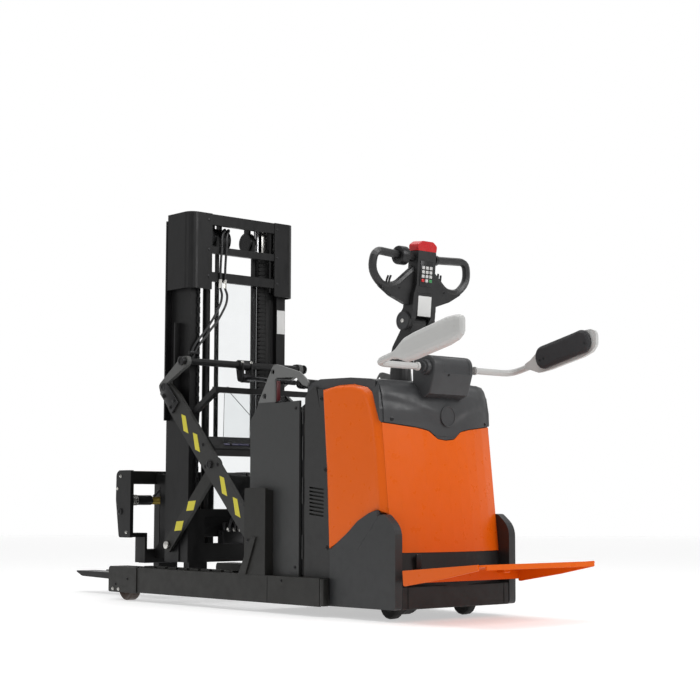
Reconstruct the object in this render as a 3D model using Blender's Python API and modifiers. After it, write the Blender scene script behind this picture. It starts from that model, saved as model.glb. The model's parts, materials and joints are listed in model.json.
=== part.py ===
"""Stand-on reach stacker: an electric pallet stacker whose mast reaches forward on a scissor linkage.

Metres, +Z up, +X towards the fork tips, +Y to the machine's left. The origin is on the floor, in the
middle of the machine's length and width. Stations along the machine are measured from the rear face
of the chassis, and one parent empty carries them all to the origin.
"""

import math

import bmesh
import bpy
from mathutils import Matrix, Vector

# Clearances
SEAT_GAP = 0.0003
RUNNING_GAP = 0.0008
MOVING_GAP = 0.006

# Chassis and legs
LEG_WIDTH = 0.092
LEG_BOTTOM_Z = 0.045
LEG_TOP_Z = 0.170
LEG_WALL = 0.012
LEG_TIP_X = 2.168
LEG_REAR_X = 0.470
BODY_HALF_WIDTH = 0.345
PANEL_THICKNESS = 0.012
BODY_BOTTOM_Z = 0.052

# Battery bay
BAY_REAR_X = 0.674
BAY_FRONT_X = 1.040
BAY_TOP_Z = 0.975
BAY_CHAMFER = (0.060, 0.080)
BULKHEAD_X = 0.640
BULKHEAD_THICKNESS = 0.030

# Rear body
HOOD_FRONT_X = 0.632
DOOR_BOTTOM_Z = 0.292
DOOR_TOP_Z = 0.858
DOOR_SHOULDER_Z = 0.836
DOOR_DIP_Z = 0.783
DOOR_CENTRE_X = 0.0105
DOOR_LEAN = 0.11
DOOR_BOW = 0.057
DOOR_THICKNESS = 0.012
HOOD_TOP_Z = 1.055

# Wheels
LOAD_WHEEL_RADIUS = 0.068
LOAD_WHEEL_WIDTH = 0.056
LOAD_WHEEL_X = 2.042
DRIVE_WHEEL_RADIUS = 0.115
DRIVE_WHEEL_WIDTH = 0.075
STEER_X = 0.360
CASTOR_X = 0.150
CASTOR_RADIUS = 0.0625
CASTOR_WIDTH = 0.040
CASTOR_TRAIL = 0.028

# Platform
PLATFORM_HINGE_X = -0.022
PLATFORM_HINGE_Z = 0.205
PLATFORM_LENGTH = 0.474
PLATFORM_TILT = math.radians(5.0)
PLATFORM_PLATE = 0.008
PLATFORM_LIP = 0.010

# Side gates
GATE_AXIS_X = 0.062
GATE_AXIS_Z = 1.104
GATE_TUBE_RADIUS = 0.015
GATE_RISE = math.radians(13.5)
GATE_NECK_LENGTH = 0.085
GATE_PAD_LENGTH = 0.335
GATE_PAD_HEIGHT = 0.118
GATE_SHELL_DEPTH = 0.046
GATE_PAD_DEPTH = 0.022
GATE_HUB_HALF = 0.175
HUB_BODY_HALF = 0.122

# Tiller
TILLER_PIVOT_X = 0.260
TILLER_PIVOT_Z = 1.331
TILLER_LEAN = math.radians(5.0)
TILLER_FACE = 0.052
TILLER_BACK = 0.012
TONGUE_HALF = 0.0400
CHEEK_HALF = 0.0740
TILLER_PIN_RADIUS = 0.012

# Reach linkage: a straight-line scissor of one long arm and one half-length link each side
REACH_PIVOT_X = 0.930
REACH_PIVOT_Z = 0.290
REACH_HALF_LENGTH = 0.562
REACH_ANGLE = math.radians(45.4)
ARM_THICKNESS = 0.020
ARM_WIDTH = 0.118
LINK_THICKNESS = 0.018
LINK_WIDTH = 0.068
PIN_RADIUS = 0.018
REACH_TUBE_X = 1.540
REACH_TUBE_Z = 1.212
REACH_TUBE_RADIUS = 0.018
BOX_ACROSS = (0.012, 0.064)
HOOP_X = 1.335
HOOP_Z = 1.060

# Mast
MAST_REAR_X = 1.590
MAST_DEPTH = 0.200
MAST_BOTTOM_Z = 0.205
RAIL_WEB = 0.016
RAIL_FLANGE = 0.058
RAIL_FLANGE_THICKNESS = 0.018
INNER_WEB = 0.014
LIFT_CYLINDER_X = 1.650
LIFT_ROD_RADIUS = 0.012
LIFT_ROD_FOOT_Z = 0.430
YOKE_HEIGHT = 0.393
YOKE_TOP_Z = 1.985
YOKE_STAND_OFF = 0.034
YOKE_RADIUS = 0.042

# Fork carriage
CARRIAGE_FRONT_X = 2.110
CARRIAGE_REAR_X = 1.900
CARRIAGE_TOP_Z = 0.672
CARRIAGE_SHOULDER_Z = 0.325
FORK_LENGTH = 0.765
FORK_OUTER_Y = 0.158
FORK_WIDTH = 0.120
FORK_TOP_Z = 0.120
FORK_THICKNESS = 0.045
FORK_SHANK = 0.050

# Reach cylinder
CYLINDER_FOOT_X = 0.700
CYLINDER_FOOT_Z = 1.050
CYLINDER_EYE_X = 1.530
CYLINDER_EYE_Z = 1.145
BARREL_LENGTH = 0.385
BARREL_RADIUS = 0.024

# Places that follow from the sizes above, across the machine
LEG_OUTER_Y = BODY_HALF_WIDTH + 0.050
DOOR_HALF = BODY_HALF_WIDTH + 0.002
HINGE_EAR_Y = BODY_HALF_WIDTH - 0.0827
HINGE_EAR_THICKNESS = 0.016
CASTOR_Y = BODY_HALF_WIDTH - 0.120
PLATFORM_HALF_WIDTH = BODY_HALF_WIDTH + 0.017
GATE_Y = BODY_HALF_WIDTH + 0.085
ARM_INNER_Y = BODY_HALF_WIDTH + 0.0065
LINK_INNER_Y = ARM_INNER_Y - LINK_THICKNESS - 0.011
MAST_OUTER_Y = LINK_INNER_Y - 0.0125
GUIDE_LIP_Y = MAST_OUTER_Y + 0.034
INNER_FLANGE_Y = MAST_OUTER_Y - 0.078
LIFT_CYLINDER_Y = INNER_FLANGE_Y - 0.067
CHAIN_Y = LIFT_CYLINDER_Y - 0.047
DUCT_OUTER_Y = INNER_FLANGE_Y - 0.014
CARRIAGE_HALF_WIDTH = LEG_OUTER_Y - 0.003

# Places that follow from the sizes above, along the machine and upwards
YOKE_BOTTOM_Z = YOKE_TOP_Z - YOKE_HEIGHT
MAST_TOP_Z = YOKE_TOP_Z - 0.030
HIGH_TIE_Z = MAST_TOP_Z - 0.315
SHEAVE_Z = YOKE_TOP_Z - 0.105
REACH_SPAN = 2.0 * REACH_HALF_LENGTH
MAST_PIN_X = REACH_PIVOT_X + REACH_SPAN * math.cos(REACH_ANGLE)
BLOCK_Z = REACH_PIVOT_Z + REACH_SPAN * math.sin(REACH_ANGLE)
MID_PIN_X = REACH_PIVOT_X + REACH_HALF_LENGTH * math.cos(REACH_ANGLE)
MID_PIN_Z = REACH_PIVOT_Z + REACH_HALF_LENGTH * math.sin(REACH_ANGLE)
MAST_FRONT_X = MAST_REAR_X + MAST_DEPTH
FORK_TIP_X = CARRIAGE_FRONT_X + FORK_LENGTH
PLATFORM_REAR_X = (PLATFORM_HINGE_X - PLATFORM_LENGTH * math.cos(PLATFORM_TILT)
                   - PLATFORM_LIP * math.sin(PLATFORM_TILT))
LEG_MID_Y = LEG_OUTER_Y - LEG_WIDTH / 2
REAR_FACE_X = -(FORK_TIP_X + PLATFORM_REAR_X) / 2

PAINT = {
    "orange": ((0.74, 0.12, 0.012, 1.0), 0.35, 0.0),
    "cover_grey": ((0.060, 0.060, 0.065, 1.0), 0.55, 0.0),
    "chassis_grey": ((0.042, 0.042, 0.040, 1.0), 0.45, 0.1),
    "panel_grey": ((0.085, 0.088, 0.088, 1.0), 0.45, 0.1),
    "mast_black": ((0.014, 0.014, 0.015, 1.0), 0.35, 0.3),
    "bare_steel": ((0.42, 0.42, 0.44, 1.0), 0.30, 1.0),
    "roller_brown": ((0.090, 0.058, 0.038, 1.0), 0.50, 0.0),
    "tread_black": ((0.020, 0.020, 0.020, 1.0), 0.70, 0.0),
    "shell_grey": ((0.62, 0.63, 0.64, 1.0), 0.35, 0.0),
    "pad_dark": ((0.045, 0.045, 0.048, 1.0), 0.80, 0.0),
    "signal_red": ((0.58, 0.02, 0.02, 1.0), 0.30, 0.0),
    "clear_sheet": ((0.80, 0.84, 0.86, 0.35), 0.08, 0.0),
}

for old in list(bpy.data.objects):
    bpy.data.objects.remove(old, do_unlink=True)

PARTS = bpy.data.collections.new("reach_stacker")
CUTTERS = bpy.data.collections.new("reach_stacker_cutters")
bpy.context.scene.collection.children.link(PARTS)
bpy.context.scene.collection.children.link(CUTTERS)


def material(name):
    """The painted finish of that name, made once."""
    if name in bpy.data.materials:
        return bpy.data.materials[name]
    colour, roughness, metallic = PAINT[name]
    made = bpy.data.materials.new(name)
    made.use_nodes = True
    shader = made.node_tree.nodes["Principled BSDF"]
    shader.inputs["Base Color"].default_value = colour
    shader.inputs["Alpha"].default_value = colour[3]
    shader.inputs["Roughness"].default_value = roughness
    shader.inputs["Metallic"].default_value = metallic
    return made


def solid_from(bm, name="piece"):
    """Put a finished bmesh into an object in the parts collection."""
    mesh = bpy.data.meshes.new(name)
    bmesh.ops.recalc_face_normals(bm, faces=bm.faces)
    bm.to_mesh(mesh)
    bm.free()
    made = bpy.data.objects.new(name, mesh)
    PARTS.objects.link(made)
    return made


def block(x_span, y_span, z_span, edge=0.0, steps=2):
    """A box between three spans, with all its edges rounded by edge."""
    spans = (x_span, y_span, z_span)
    centre = Vector([(low + high) / 2 for low, high in spans])
    size = [abs(high - low) for low, high in spans]
    bm = bmesh.new()
    place = Matrix.Translation(centre) @ Matrix.Diagonal((*size, 1.0))
    bmesh.ops.create_cube(bm, size=1.0, matrix=place)
    if edge:
        bmesh.ops.bevel(bm, geom=bm.edges[:], offset=edge, segments=steps, affect="EDGES", profile=0.5)
    return solid_from(bm)


def rod(start, end, radius, sides=16, end_radius=None):
    """A round bar, or a cone where end_radius is given, from start to end."""
    start, end = Vector(start), Vector(end)
    run = end - start
    bm = bmesh.new()
    turn = run.to_track_quat("Z", "Y").to_matrix().to_4x4()
    place = Matrix.Translation((start + end) / 2) @ turn
    tip = radius if end_radius is None else end_radius
    bmesh.ops.create_cone(bm, cap_ends=True, segments=sides, radius1=radius, radius2=tip,
                          depth=run.length, matrix=place)
    return solid_from(bm)


def corner_arcs(corners, steps=3):
    """Turn (a, b, radius) corners into points, each corner rounded by its own radius."""
    points = []
    count = len(corners)
    for index, (a, b, radius) in enumerate(corners):
        here = Vector((a, b))
        before = Vector(corners[index - 1][:2]) - here
        after = Vector(corners[(index + 1) % count][:2]) - here
        if radius <= 0.0:
            points.append(here)
            continue
        half = before.angle(after) / 2
        reach = min(radius / math.tan(half), 0.48 * before.length, 0.48 * after.length)
        first = here + before.normalized() * reach
        last = here + after.normalized() * reach
        for step in range(steps + 1):
            t = step / steps
            points.append(first * (1 - t) ** 2 + here * 2 * t * (1 - t) + last * t ** 2)
    return points


AXIS_TURN = {
    "x": Matrix(((0, 0, 1), (1, 0, 0), (0, 1, 0))).to_4x4(),
    "y": Matrix(((1, 0, 0), (0, 0, -1), (0, 1, 0))).to_4x4(),
    "z": Matrix.Identity(4),
}


def mesh_of(curve_object):
    """Make a closed mesh object of a curve object and remove the curve."""
    graph = bpy.context.evaluated_depsgraph_get()
    mesh = bpy.data.meshes.new_from_object(curve_object.evaluated_get(graph))
    mesh.transform(curve_object.matrix_world)
    bm = bmesh.new()
    bm.from_mesh(mesh)
    bmesh.ops.remove_doubles(bm, verts=bm.verts, dist=0.00001)
    curve = curve_object.data
    bpy.data.objects.remove(curve_object)
    bpy.data.curves.remove(curve)
    bpy.data.meshes.remove(mesh)
    return solid_from(bm)


def prism(outline, axis, low, high, holes=()):
    """A flat outline given across one axis and extruded along it from low to high.

    The outline is (x, z) for axis y, (y, z) for axis x and (x, y) for axis z.
    """
    curve = bpy.data.curves.new("outline", "CURVE")
    curve.dimensions = "2D"
    curve.fill_mode = "BOTH"
    curve.extrude = (high - low) / 2
    for ring in (outline, *holes):
        spline = curve.splines.new("POLY")
        spline.points.add(len(ring) - 1)
        for point, value in zip(spline.points, ring):
            point.co = (value[0], value[1], 0.0, 1.0)
        spline.use_cyclic_u = True
    holder = bpy.data.objects.new("outline", curve)
    PARTS.objects.link(holder)
    shift = [0.0, 0.0, 0.0]
    shift["xyz".index(axis)] = (low + high) / 2
    holder.matrix_world = Matrix.Translation(shift) @ AXIS_TURN[axis]
    bpy.context.view_layer.update()
    return mesh_of(holder)


def pipe(points, radius, closed=False, resolution=2):
    """A round tube along a chain of points."""
    curve = bpy.data.curves.new("run", "CURVE")
    curve.dimensions = "3D"
    curve.bevel_depth = radius
    curve.bevel_resolution = resolution
    curve.use_fill_caps = True
    spline = curve.splines.new("POLY")
    spline.points.add(len(points) - 1)
    for point, value in zip(spline.points, points):
        point.co = (*value, 1.0)
    spline.use_cyclic_u = closed
    holder = bpy.data.objects.new("run", curve)
    PARTS.objects.link(holder)
    bpy.context.view_layer.update()
    return mesh_of(holder)


def eased(points, radius, steps=4):
    """Round the inner corners of a chain of 3-D points."""
    result = [Vector(points[0])]
    for before, here, after in zip(points, points[1:], points[2:]):
        here = Vector(here)
        back = Vector(before) - here
        ahead = Vector(after) - here
        reach = min(radius, 0.45 * back.length, 0.45 * ahead.length)
        first = here + back.normalized() * reach
        last = here + ahead.normalized() * reach
        for step in range(steps + 1):
            t = step / steps
            result.append(first * (1 - t) ** 2 + here * 2 * t * (1 - t) + last * t ** 2)
    result.append(Vector(points[-1]))
    return result


def combine(first, others, operation):
    """Apply one Boolean of each other piece to the first and remove them."""
    for other in others:
        modifier = first.modifiers.new("join", "BOOLEAN")
        modifier.operation = operation
        modifier.solver = "EXACT"
        modifier.object = other
        bpy.context.view_layer.update()
        graph = bpy.context.evaluated_depsgraph_get()
        mesh = bpy.data.meshes.new_from_object(first.evaluated_get(graph))
        first.modifiers.clear()
        first.data = mesh
        bpy.data.objects.remove(other)
    return first


def join(first, *others):
    """One closed body of pieces that run into each other."""
    return combine(first, others, "UNION")


def cut(first, *tools):
    """Take the tools out of a piece."""
    return combine(first, tools, "DIFFERENCE")


def lofted(rings):
    """A closed body through rings of the same number of points, flat at both ends."""
    bm = bmesh.new()
    loops = [[bm.verts.new(point) for point in ring] for ring in rings]
    for low, high in zip(loops, loops[1:]):
        for index in range(len(low)):
            after = (index + 1) % len(low)
            bm.faces.new((low[index], low[after], high[after], high[index]))
    bm.faces.new(loops[0])
    bm.faces.new(loops[-1])
    return solid_from(bm)


def copied(piece, shift):
    """A loose copy of a piece, moved by shift."""
    mesh = piece.data.copy()
    mesh.transform(Matrix.Translation(shift))
    twin = bpy.data.objects.new("copy", mesh)
    PARTS.objects.link(twin)
    return twin


def softened(piece, picked, offset, segments):
    """Round the edges of a piece whose two ends both pass the test picked."""
    bm = bmesh.new()
    bm.from_mesh(piece.data)
    rim = [edge for edge in bm.edges
           if all(picked(vert.co) for vert in edge.verts) and len(edge.link_faces) == 2
           and edge.calc_face_angle(0.0) > math.radians(40)]
    bmesh.ops.bevel(bm, geom=rim, offset=offset, segments=segments, affect="EDGES", profile=0.5,
                    clamp_overlap=True)
    bm.to_mesh(piece.data)
    bm.free()
    return piece


def named(piece, name, finish, smooth=0.0):
    """Give a finished piece its name and finish, smooth below an angle in degrees."""
    piece.name = name
    piece.data.name = name
    piece.data.materials.clear()
    piece.data.materials.append(material(finish))
    if smooth:
        piece.data.shade_smooth()
        piece.data.set_sharp_from_angle(angle=math.radians(smooth))
    return piece


def mirrored(piece, name):
    """The same piece for the machine's right side."""
    mesh = piece.data.copy()
    mesh.transform(Matrix.Diagonal((1.0, -1.0, 1.0, 1.0)))
    mesh.flip_normals()
    twin = bpy.data.objects.new(name, mesh)
    mesh.name = name
    PARTS.objects.link(twin)
    return twin


def pair(piece, stem, finish, smooth=0.0):
    """Name a left piece and add its mirror image on the right."""
    left = named(piece, f"{stem}_left", finish, smooth)
    right = mirrored(left, f"{stem}_right")
    return [left, right]


def pivot(name, place, parent=None):
    """An empty on a joint's axis, which carries the pieces that turn or slide there."""
    empty = bpy.data.objects.new(name, None)
    empty.empty_display_size = 0.05
    PARTS.objects.link(empty)
    empty.location = place
    if parent is not None:
        empty.parent = parent
        empty.location = Vector(place) - station_of(parent)
    return empty


def station_of(empty):
    """Where an empty stands, in stations from the chassis' rear face."""
    place = Vector((0.0, 0.0, 0.0))
    while empty is not None and empty is not MACHINE:
        place += empty.location
        empty = empty.parent
    return place


def hang(pieces, empty):
    """Parent pieces to an empty and leave them where they were modelled."""
    for piece in pieces:
        piece.parent = empty
        piece.location = -station_of(empty)


MACHINE = bpy.data.objects.new("machine", None)
PARTS.objects.link(MACHINE)
MACHINE.location = (REAR_FACE_X, 0.0, 0.0)


def turned(profile, centre, sides=32):
    """A wheel turned from (radius, offset) points about an axis along Y through centre."""
    mesh = bpy.data.meshes.new("profile")
    mesh.from_pydata([(radius, offset, 0.0) for radius, offset in profile], [
        (index, index + 1) for index in range(len(profile) - 1)], [])
    holder = bpy.data.objects.new("profile", mesh)
    PARTS.objects.link(holder)
    screw = holder.modifiers.new("turn", "SCREW")
    screw.axis = "Y"
    screw.steps = sides
    screw.render_steps = sides
    screw.use_merge_vertices = True
    screw.merge_threshold = 0.00005
    screw.use_smooth_shade = True
    bpy.context.view_layer.update()
    graph = bpy.context.evaluated_depsgraph_get()
    done = bpy.data.meshes.new_from_object(holder.evaluated_get(graph))
    bpy.data.objects.remove(holder)
    done.transform(Matrix.Translation(centre))
    bm = bmesh.new()
    bm.from_mesh(done)
    bmesh.ops.remove_doubles(bm, verts=bm.verts, dist=0.00002)
    bpy.data.meshes.remove(done)
    return solid_from(bm)


def wheel_profile(radius, width, bore, hub_width, rim):
    """Half section of a solid-tyred wheel, from the bore's left edge round to its right edge."""
    half = width / 2
    round_off = min(0.006, half / 3)
    return [
        (bore, hub_width / 2), (rim * 0.62, hub_width / 2), (rim * 0.72, half - 0.008),
        (rim, half - 0.004), (radius - round_off, half), (radius, half - round_off),
        (radius, round_off - half), (radius - round_off, -half), (rim, 0.004 - half),
        (rim * 0.72, 0.008 - half), (rim * 0.62, -hub_width / 2), (bore, -hub_width / 2),
        (bore, hub_width / 2),
    ]


def build_legs():
    """The two straddle legs: open-bottomed channels with a wheel housing at the front."""
    inner_y = LEG_OUTER_Y - LEG_WIDTH
    section = [
        (inner_y, LEG_BOTTOM_Z), (inner_y, LEG_TOP_Z), (LEG_OUTER_Y, LEG_TOP_Z),
        (LEG_OUTER_Y, LEG_BOTTOM_Z), (LEG_OUTER_Y - LEG_WALL, LEG_BOTTOM_Z),
        (LEG_OUTER_Y - LEG_WALL, LEG_TOP_Z - LEG_WALL), (inner_y + LEG_WALL, LEG_TOP_Z - LEG_WALL),
        (inner_y + LEG_WALL, LEG_BOTTOM_Z),
    ]
    housing_rear_x = LOAD_WHEEL_X - LOAD_WHEEL_RADIUS - 0.062
    leg = prism(section, "x", LEG_REAR_X, LEG_TIP_X - 0.030)
    side = corner_arcs([
        (housing_rear_x, LEG_TOP_Z + 0.004, 0.004), (housing_rear_x, LEG_BOTTOM_Z - 0.004, 0.004),
        (LEG_TIP_X, LEG_BOTTOM_Z - 0.004, 0.012), (LEG_TIP_X, LEG_TOP_Z + 0.004, 0.022)])
    outer_cheek = prism(side, "y", LEG_OUTER_Y - LEG_WALL - 0.001, LEG_OUTER_Y + 0.005)
    inner_cheek = prism(side, "y", inner_y - 0.005, inner_y + LEG_WALL + 0.001)
    bridge = block((LEG_TIP_X - 0.050, LEG_TIP_X - 0.004), (inner_y, LEG_OUTER_Y),
                   (LEG_TOP_Z - 0.020, LEG_TOP_Z + 0.0035))
    axle = rod((LOAD_WHEEL_X, inner_y, LOAD_WHEEL_RADIUS), (LOAD_WHEEL_X, LEG_OUTER_Y, LOAD_WHEEL_RADIUS),
               0.0125, 16)
    leg = join(leg, outer_cheek, inner_cheek, bridge, axle)
    notch_pitch = 0.094
    track = block((1.160, housing_rear_x - 0.004), (inner_y + 0.004, inner_y + 0.050),
                  (LEG_TOP_Z - 0.002, LEG_TOP_Z + 0.010))
    notches = [
        block((1.230 + index * notch_pitch, 1.252 + index * notch_pitch), (inner_y + 0.034, inner_y + 0.060),
              (LEG_TOP_Z + 0.0004, LEG_TOP_Z + 0.020))
        for index in range(7)]
    leg = join(leg, cut(track, *notches))
    return pair(leg, "leg", "chassis_grey")


def build_load_wheels():
    """Load wheels of brown elastomer on steel hubs, one in each leg's housing."""
    profile = wheel_profile(LOAD_WHEEL_RADIUS, LOAD_WHEEL_WIDTH, 0.0133, LOAD_WHEEL_WIDTH - 0.002, 0.050)
    centre = Vector((LOAD_WHEEL_X, LEG_MID_Y, LOAD_WHEEL_RADIUS))
    wheels = pair(turned(profile, centre, 20), "load_wheel", "roller_brown", 40)
    for wheel, side in zip(wheels, (1, -1)):
        place = (LOAD_WHEEL_X, side * LEG_MID_Y, LOAD_WHEEL_RADIUS)
        hang([wheel], pivot(f"{wheel.name}_axle", place, MACHINE))


def build_chassis():
    """Welded lower frame: bay floor, front wall, bulkhead, bearing deck and castor shelf."""
    half = BODY_HALF_WIDTH - PANEL_THICKNESS - SEAT_GAP
    leg_inner_y = LEG_OUTER_Y - LEG_WIDTH - SEAT_GAP
    floor = block((BULKHEAD_X - 0.02, BAY_FRONT_X), (-leg_inner_y, leg_inner_y), (LEG_BOTTOM_Z, LEG_TOP_Z))
    front_wall = block((BAY_FRONT_X - 0.020, BAY_FRONT_X), (-half, half), (LEG_TOP_Z + SEAT_GAP, 0.560))
    front_foot = block((BAY_FRONT_X - 0.020, BAY_FRONT_X), (-leg_inner_y, leg_inner_y), (0.120, 0.30))
    bulkhead = block((BULKHEAD_X - BULKHEAD_THICKNESS / 2, BULKHEAD_X + BULKHEAD_THICKNESS / 2),
                     (-half, half), (LEG_TOP_Z + SEAT_GAP, BAY_TOP_Z - 0.030))
    bulkhead_foot = block((BULKHEAD_X - BULKHEAD_THICKNESS / 2, BULKHEAD_X + BULKHEAD_THICKNESS / 2),
                          (-leg_inner_y, leg_inner_y), (0.100, 0.30))
    deck = block((0.126, BULKHEAD_X), (-half, half), (0.600, 0.616))
    shelf = block((0.084, 0.235), (-half, half), (0.178, 0.190))
    rail_left = block((0.126, BULKHEAD_X), (half - 0.014, half), (0.178, 0.616))
    rail_right = block((0.126, BULKHEAD_X), (-half, 0.014 - half), (0.178, 0.616))
    riser = block((0.634, 0.664), (-0.050, 0.050), (BAY_TOP_Z - 0.050, 1.000))
    ears = [
        prism(corner_arcs([
            (0.640, BAY_TOP_Z - 0.030, 0), (0.700, BAY_TOP_Z - 0.030, 0), (CYLINDER_FOOT_X + 0.026, 1.040, 0.02),
            (CYLINDER_FOOT_X + 0.012, CYLINDER_FOOT_Z + 0.026, 0.02),
            (CYLINDER_FOOT_X - 0.024, CYLINDER_FOOT_Z + 0.026, 0.02), (0.640, 1.000, 0.01)], 3),
            "y", low, low + 0.010)
        for low in (-0.038, 0.028)]
    foot_pin = rod((CYLINDER_FOOT_X, -0.040, CYLINDER_FOOT_Z), (CYLINDER_FOOT_X, 0.040, CYLINDER_FOOT_Z),
                   0.010, 14)
    frame = join(floor, front_wall, front_foot, bulkhead, bulkhead_foot, deck, shelf, rail_left, rail_right,
                 riser, *ears, foot_pin)
    steer_bore = rod((STEER_X, 0, 0.55), (STEER_X, 0, 0.70), 0.060, 28)
    frame = cut(frame, steer_bore)
    return [named(frame, "chassis_frame", "chassis_grey")]


def build_battery():
    """The traction battery as one plain block between the bulkhead and the front wall."""
    half = BODY_HALF_WIDTH - PANEL_THICKNESS - 0.010
    battery = block((BAY_REAR_X, BAY_FRONT_X - 0.0215), (-half, half), (LEG_TOP_Z + SEAT_GAP, 0.930), 0.004, 1)
    return [named(battery, "battery_block", "pad_dark")]


def build_bay_panels():
    """The battery bay's side panels, each with the arched bracket that ends in a hook."""
    chamfer_x, chamfer_z = BAY_CHAMFER
    outline = [
        (BAY_REAR_X, LEG_TOP_Z + SEAT_GAP), (BAY_FRONT_X, LEG_TOP_Z + SEAT_GAP),
        (BAY_FRONT_X, BAY_TOP_Z - chamfer_z), (BAY_FRONT_X - chamfer_x, BAY_TOP_Z - 0.008),
        (BAY_REAR_X, BAY_TOP_Z)]
    inner = BODY_HALF_WIDTH - PANEL_THICKNESS
    panel = prism(outline, "y", inner, BODY_HALF_WIDTH)
    foot_z = BAY_TOP_Z - 0.040
    arch = corner_arcs([
        (0.990, foot_z, 0), (0.984, BAY_TOP_Z, 0), (0.884, 1.132, 0.012), (0.868, 1.152, 0.014),
        (0.846, 1.153, 0.010), (0.676, 1.108, 0.020), (0.612, 1.058, 0.010), (0.622, 1.036, 0.006),
        (0.655, 1.046, 0.008), (0.702, 1.084, 0.012), (0.846, 1.090, 0.010), (0.858, 1.080, 0.008),
        (0.858, foot_z, 0)], 3)
    bracket = prism(arch, "y", inner + 0.001, BODY_HALF_WIDTH - 0.001)
    holes = [rod((x, inner - 0.02, z), (x, BODY_HALF_WIDTH + 0.02, z), radius, 14)
             for x, z, radius in ((0.874, 1.118, 0.013), (0.936, 1.006, 0.015))]
    panel = join(panel, cut(bracket, *holes))
    return pair(panel, "battery_panel", "panel_grey")


def build_pivot_plates():
    """The plates that stand on the legs outside the long arms and carry their lower pins."""
    plate_top = 0.574
    plate_inner = ARM_INNER_Y + ARM_THICKNESS + MOVING_GAP
    plate_outer = LEG_OUTER_Y - 0.002
    rear_x = 0.862
    base = LEG_TOP_Z + SEAT_GAP
    outline = corner_arcs([
        (rear_x, base, 0), (1.020, base, 0), (1.020, plate_top, 0.008), (rear_x, plate_top, 0.008)], 2)
    plate = prism(outline, "y", plate_inner, plate_outer)
    web = block((rear_x, rear_x + 0.012), (BODY_HALF_WIDTH + SEAT_GAP, plate_outer - 0.001),
                (base, plate_top - 0.010))
    brace = prism([(1.000, base), (1.055, base), (0.960, 0.345), (0.925, 0.345)], "y",
                  plate_outer - 0.006, plate_outer + 0.008)
    boss = rod((REACH_PIVOT_X, ARM_INNER_Y - 0.003, REACH_PIVOT_Z), (REACH_PIVOT_X, plate_outer, REACH_PIVOT_Z),
               PIN_RADIUS, 20)
    plate = join(plate, web, brace, boss)
    return pair(plate, "pivot_plate", "chassis_grey")


def build_corner_covers():
    """Dark covers between the battery bay and the side panels, with slanted vent slots."""
    outline = corner_arcs([
        (0.442, LEG_TOP_Z + SEAT_GAP, 0), (BULKHEAD_X - 0.006, LEG_TOP_Z + SEAT_GAP, 0),
        (BULKHEAD_X - 0.006, 0.992, 0.030), (0.562, 1.040, 0.020), (0.547, 1.000, 0.004),
        (0.464, 0.655, 0.060)], 4)
    cover = prism(outline, "y", BODY_HALF_WIDTH - PANEL_THICKNESS, BODY_HALF_WIDTH)
    slots = []
    for index in range(8):
        rise = 0.442 + index * 0.017
        slots.append(prism([(0.500, rise), (0.600, rise + 0.010), (0.600, rise + 0.018), (0.500, rise + 0.008)],
                           "y", BODY_HALF_WIDTH - 0.045, BODY_HALF_WIDTH + 0.055))
    cover = cut(cover, *slots)
    return pair(cover, "corner_cover", "cover_grey")


PANEL_EDGE = [
    (0.446, 0.300, 0.0), (0.300, 0.330, 0.100), (0.125, 0.448, 0.050), (0.0850, 0.462, 0.004),
    (0.1280, 0.850, 0.100), (0.192, 1.004, 0.050), (0.290, 1.026, 0.010), (0.546, 1.003, 0.012)]


def build_side_panels():
    """Orange side panels of the drive compartment, their rear and top edges rounded over."""
    outline = corner_arcs([(0.4632, 0.655, 0.060), *PANEL_EDGE], 5)
    outer = BODY_HALF_WIDTH + 0.006
    panel = prism(outline, "y", BODY_HALF_WIDTH - PANEL_THICKNESS, outer)
    panel = softened(panel, lambda at: at.y > outer - 0.0005 and at.z > 0.47 and (at.x < 0.18 or at.z > 0.96),
                     0.010, 3)
    return pair(panel, "side_panel", "orange", 35)


def build_skirts():
    """Dark lower skirts which thicken towards the rear and rise into pillars at the corners."""
    outline = corner_arcs([
        (0.4415, 0.2965, 0.0), (0.4415, LEG_BOTTOM_Z + 0.004, 0.0), (-0.002, BODY_BOTTOM_Z, 0.020),
        (-0.002, 0.400, 0.110), (0.072, 0.4595, 0.030), (0.123, 0.4455, 0.050), (0.2985, 0.3280, 0.100)], 5)
    inner = BODY_HALF_WIDTH - PANEL_THICKNESS
    skirt = prism(outline, "y", inner, BODY_HALF_WIDTH + 0.014)
    for vert in skirt.data.vertices:
        vert.co.y = inner + (vert.co.y - inner) * (1.0 + 1.35 * (0.4415 - vert.co.x))
    outer_test = BODY_HALF_WIDTH + 0.016
    skirt = softened(skirt, lambda at: at.y > outer_test and at.x < 0.15, 0.008, 2)
    return pair(skirt, "skirt", "cover_grey", 35)


def door_edge(z, inset=0.0, half=DOOR_HALF):
    """Plan outline, left to right, of the bowed and leaning rear skin at a height, moved in by inset."""
    points = []
    steps = 10
    for step in range(steps + 1):
        across = half * (1 - 2 * step / steps)
        bow = DOOR_BOW * (across / DOOR_HALF) ** 2
        points.append((DOOR_CENTRE_X + DOOR_LEAN * (z - DOOR_BOTTOM_Z) + bow + inset, across))
    return points


def rear_skin(low_z, high_z, front, rear=0.0, half=DOOR_HALF):
    """A sheet of the bowed rear surface between two heights, from inset rear to inset front."""
    rings = []
    for z in (low_z, high_z):
        ring = door_edge(z, rear, half) + list(reversed(door_edge(z, front, half)))
        rings.append([(x, y, z) for x, y in ring])
    return lofted(rings)


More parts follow.
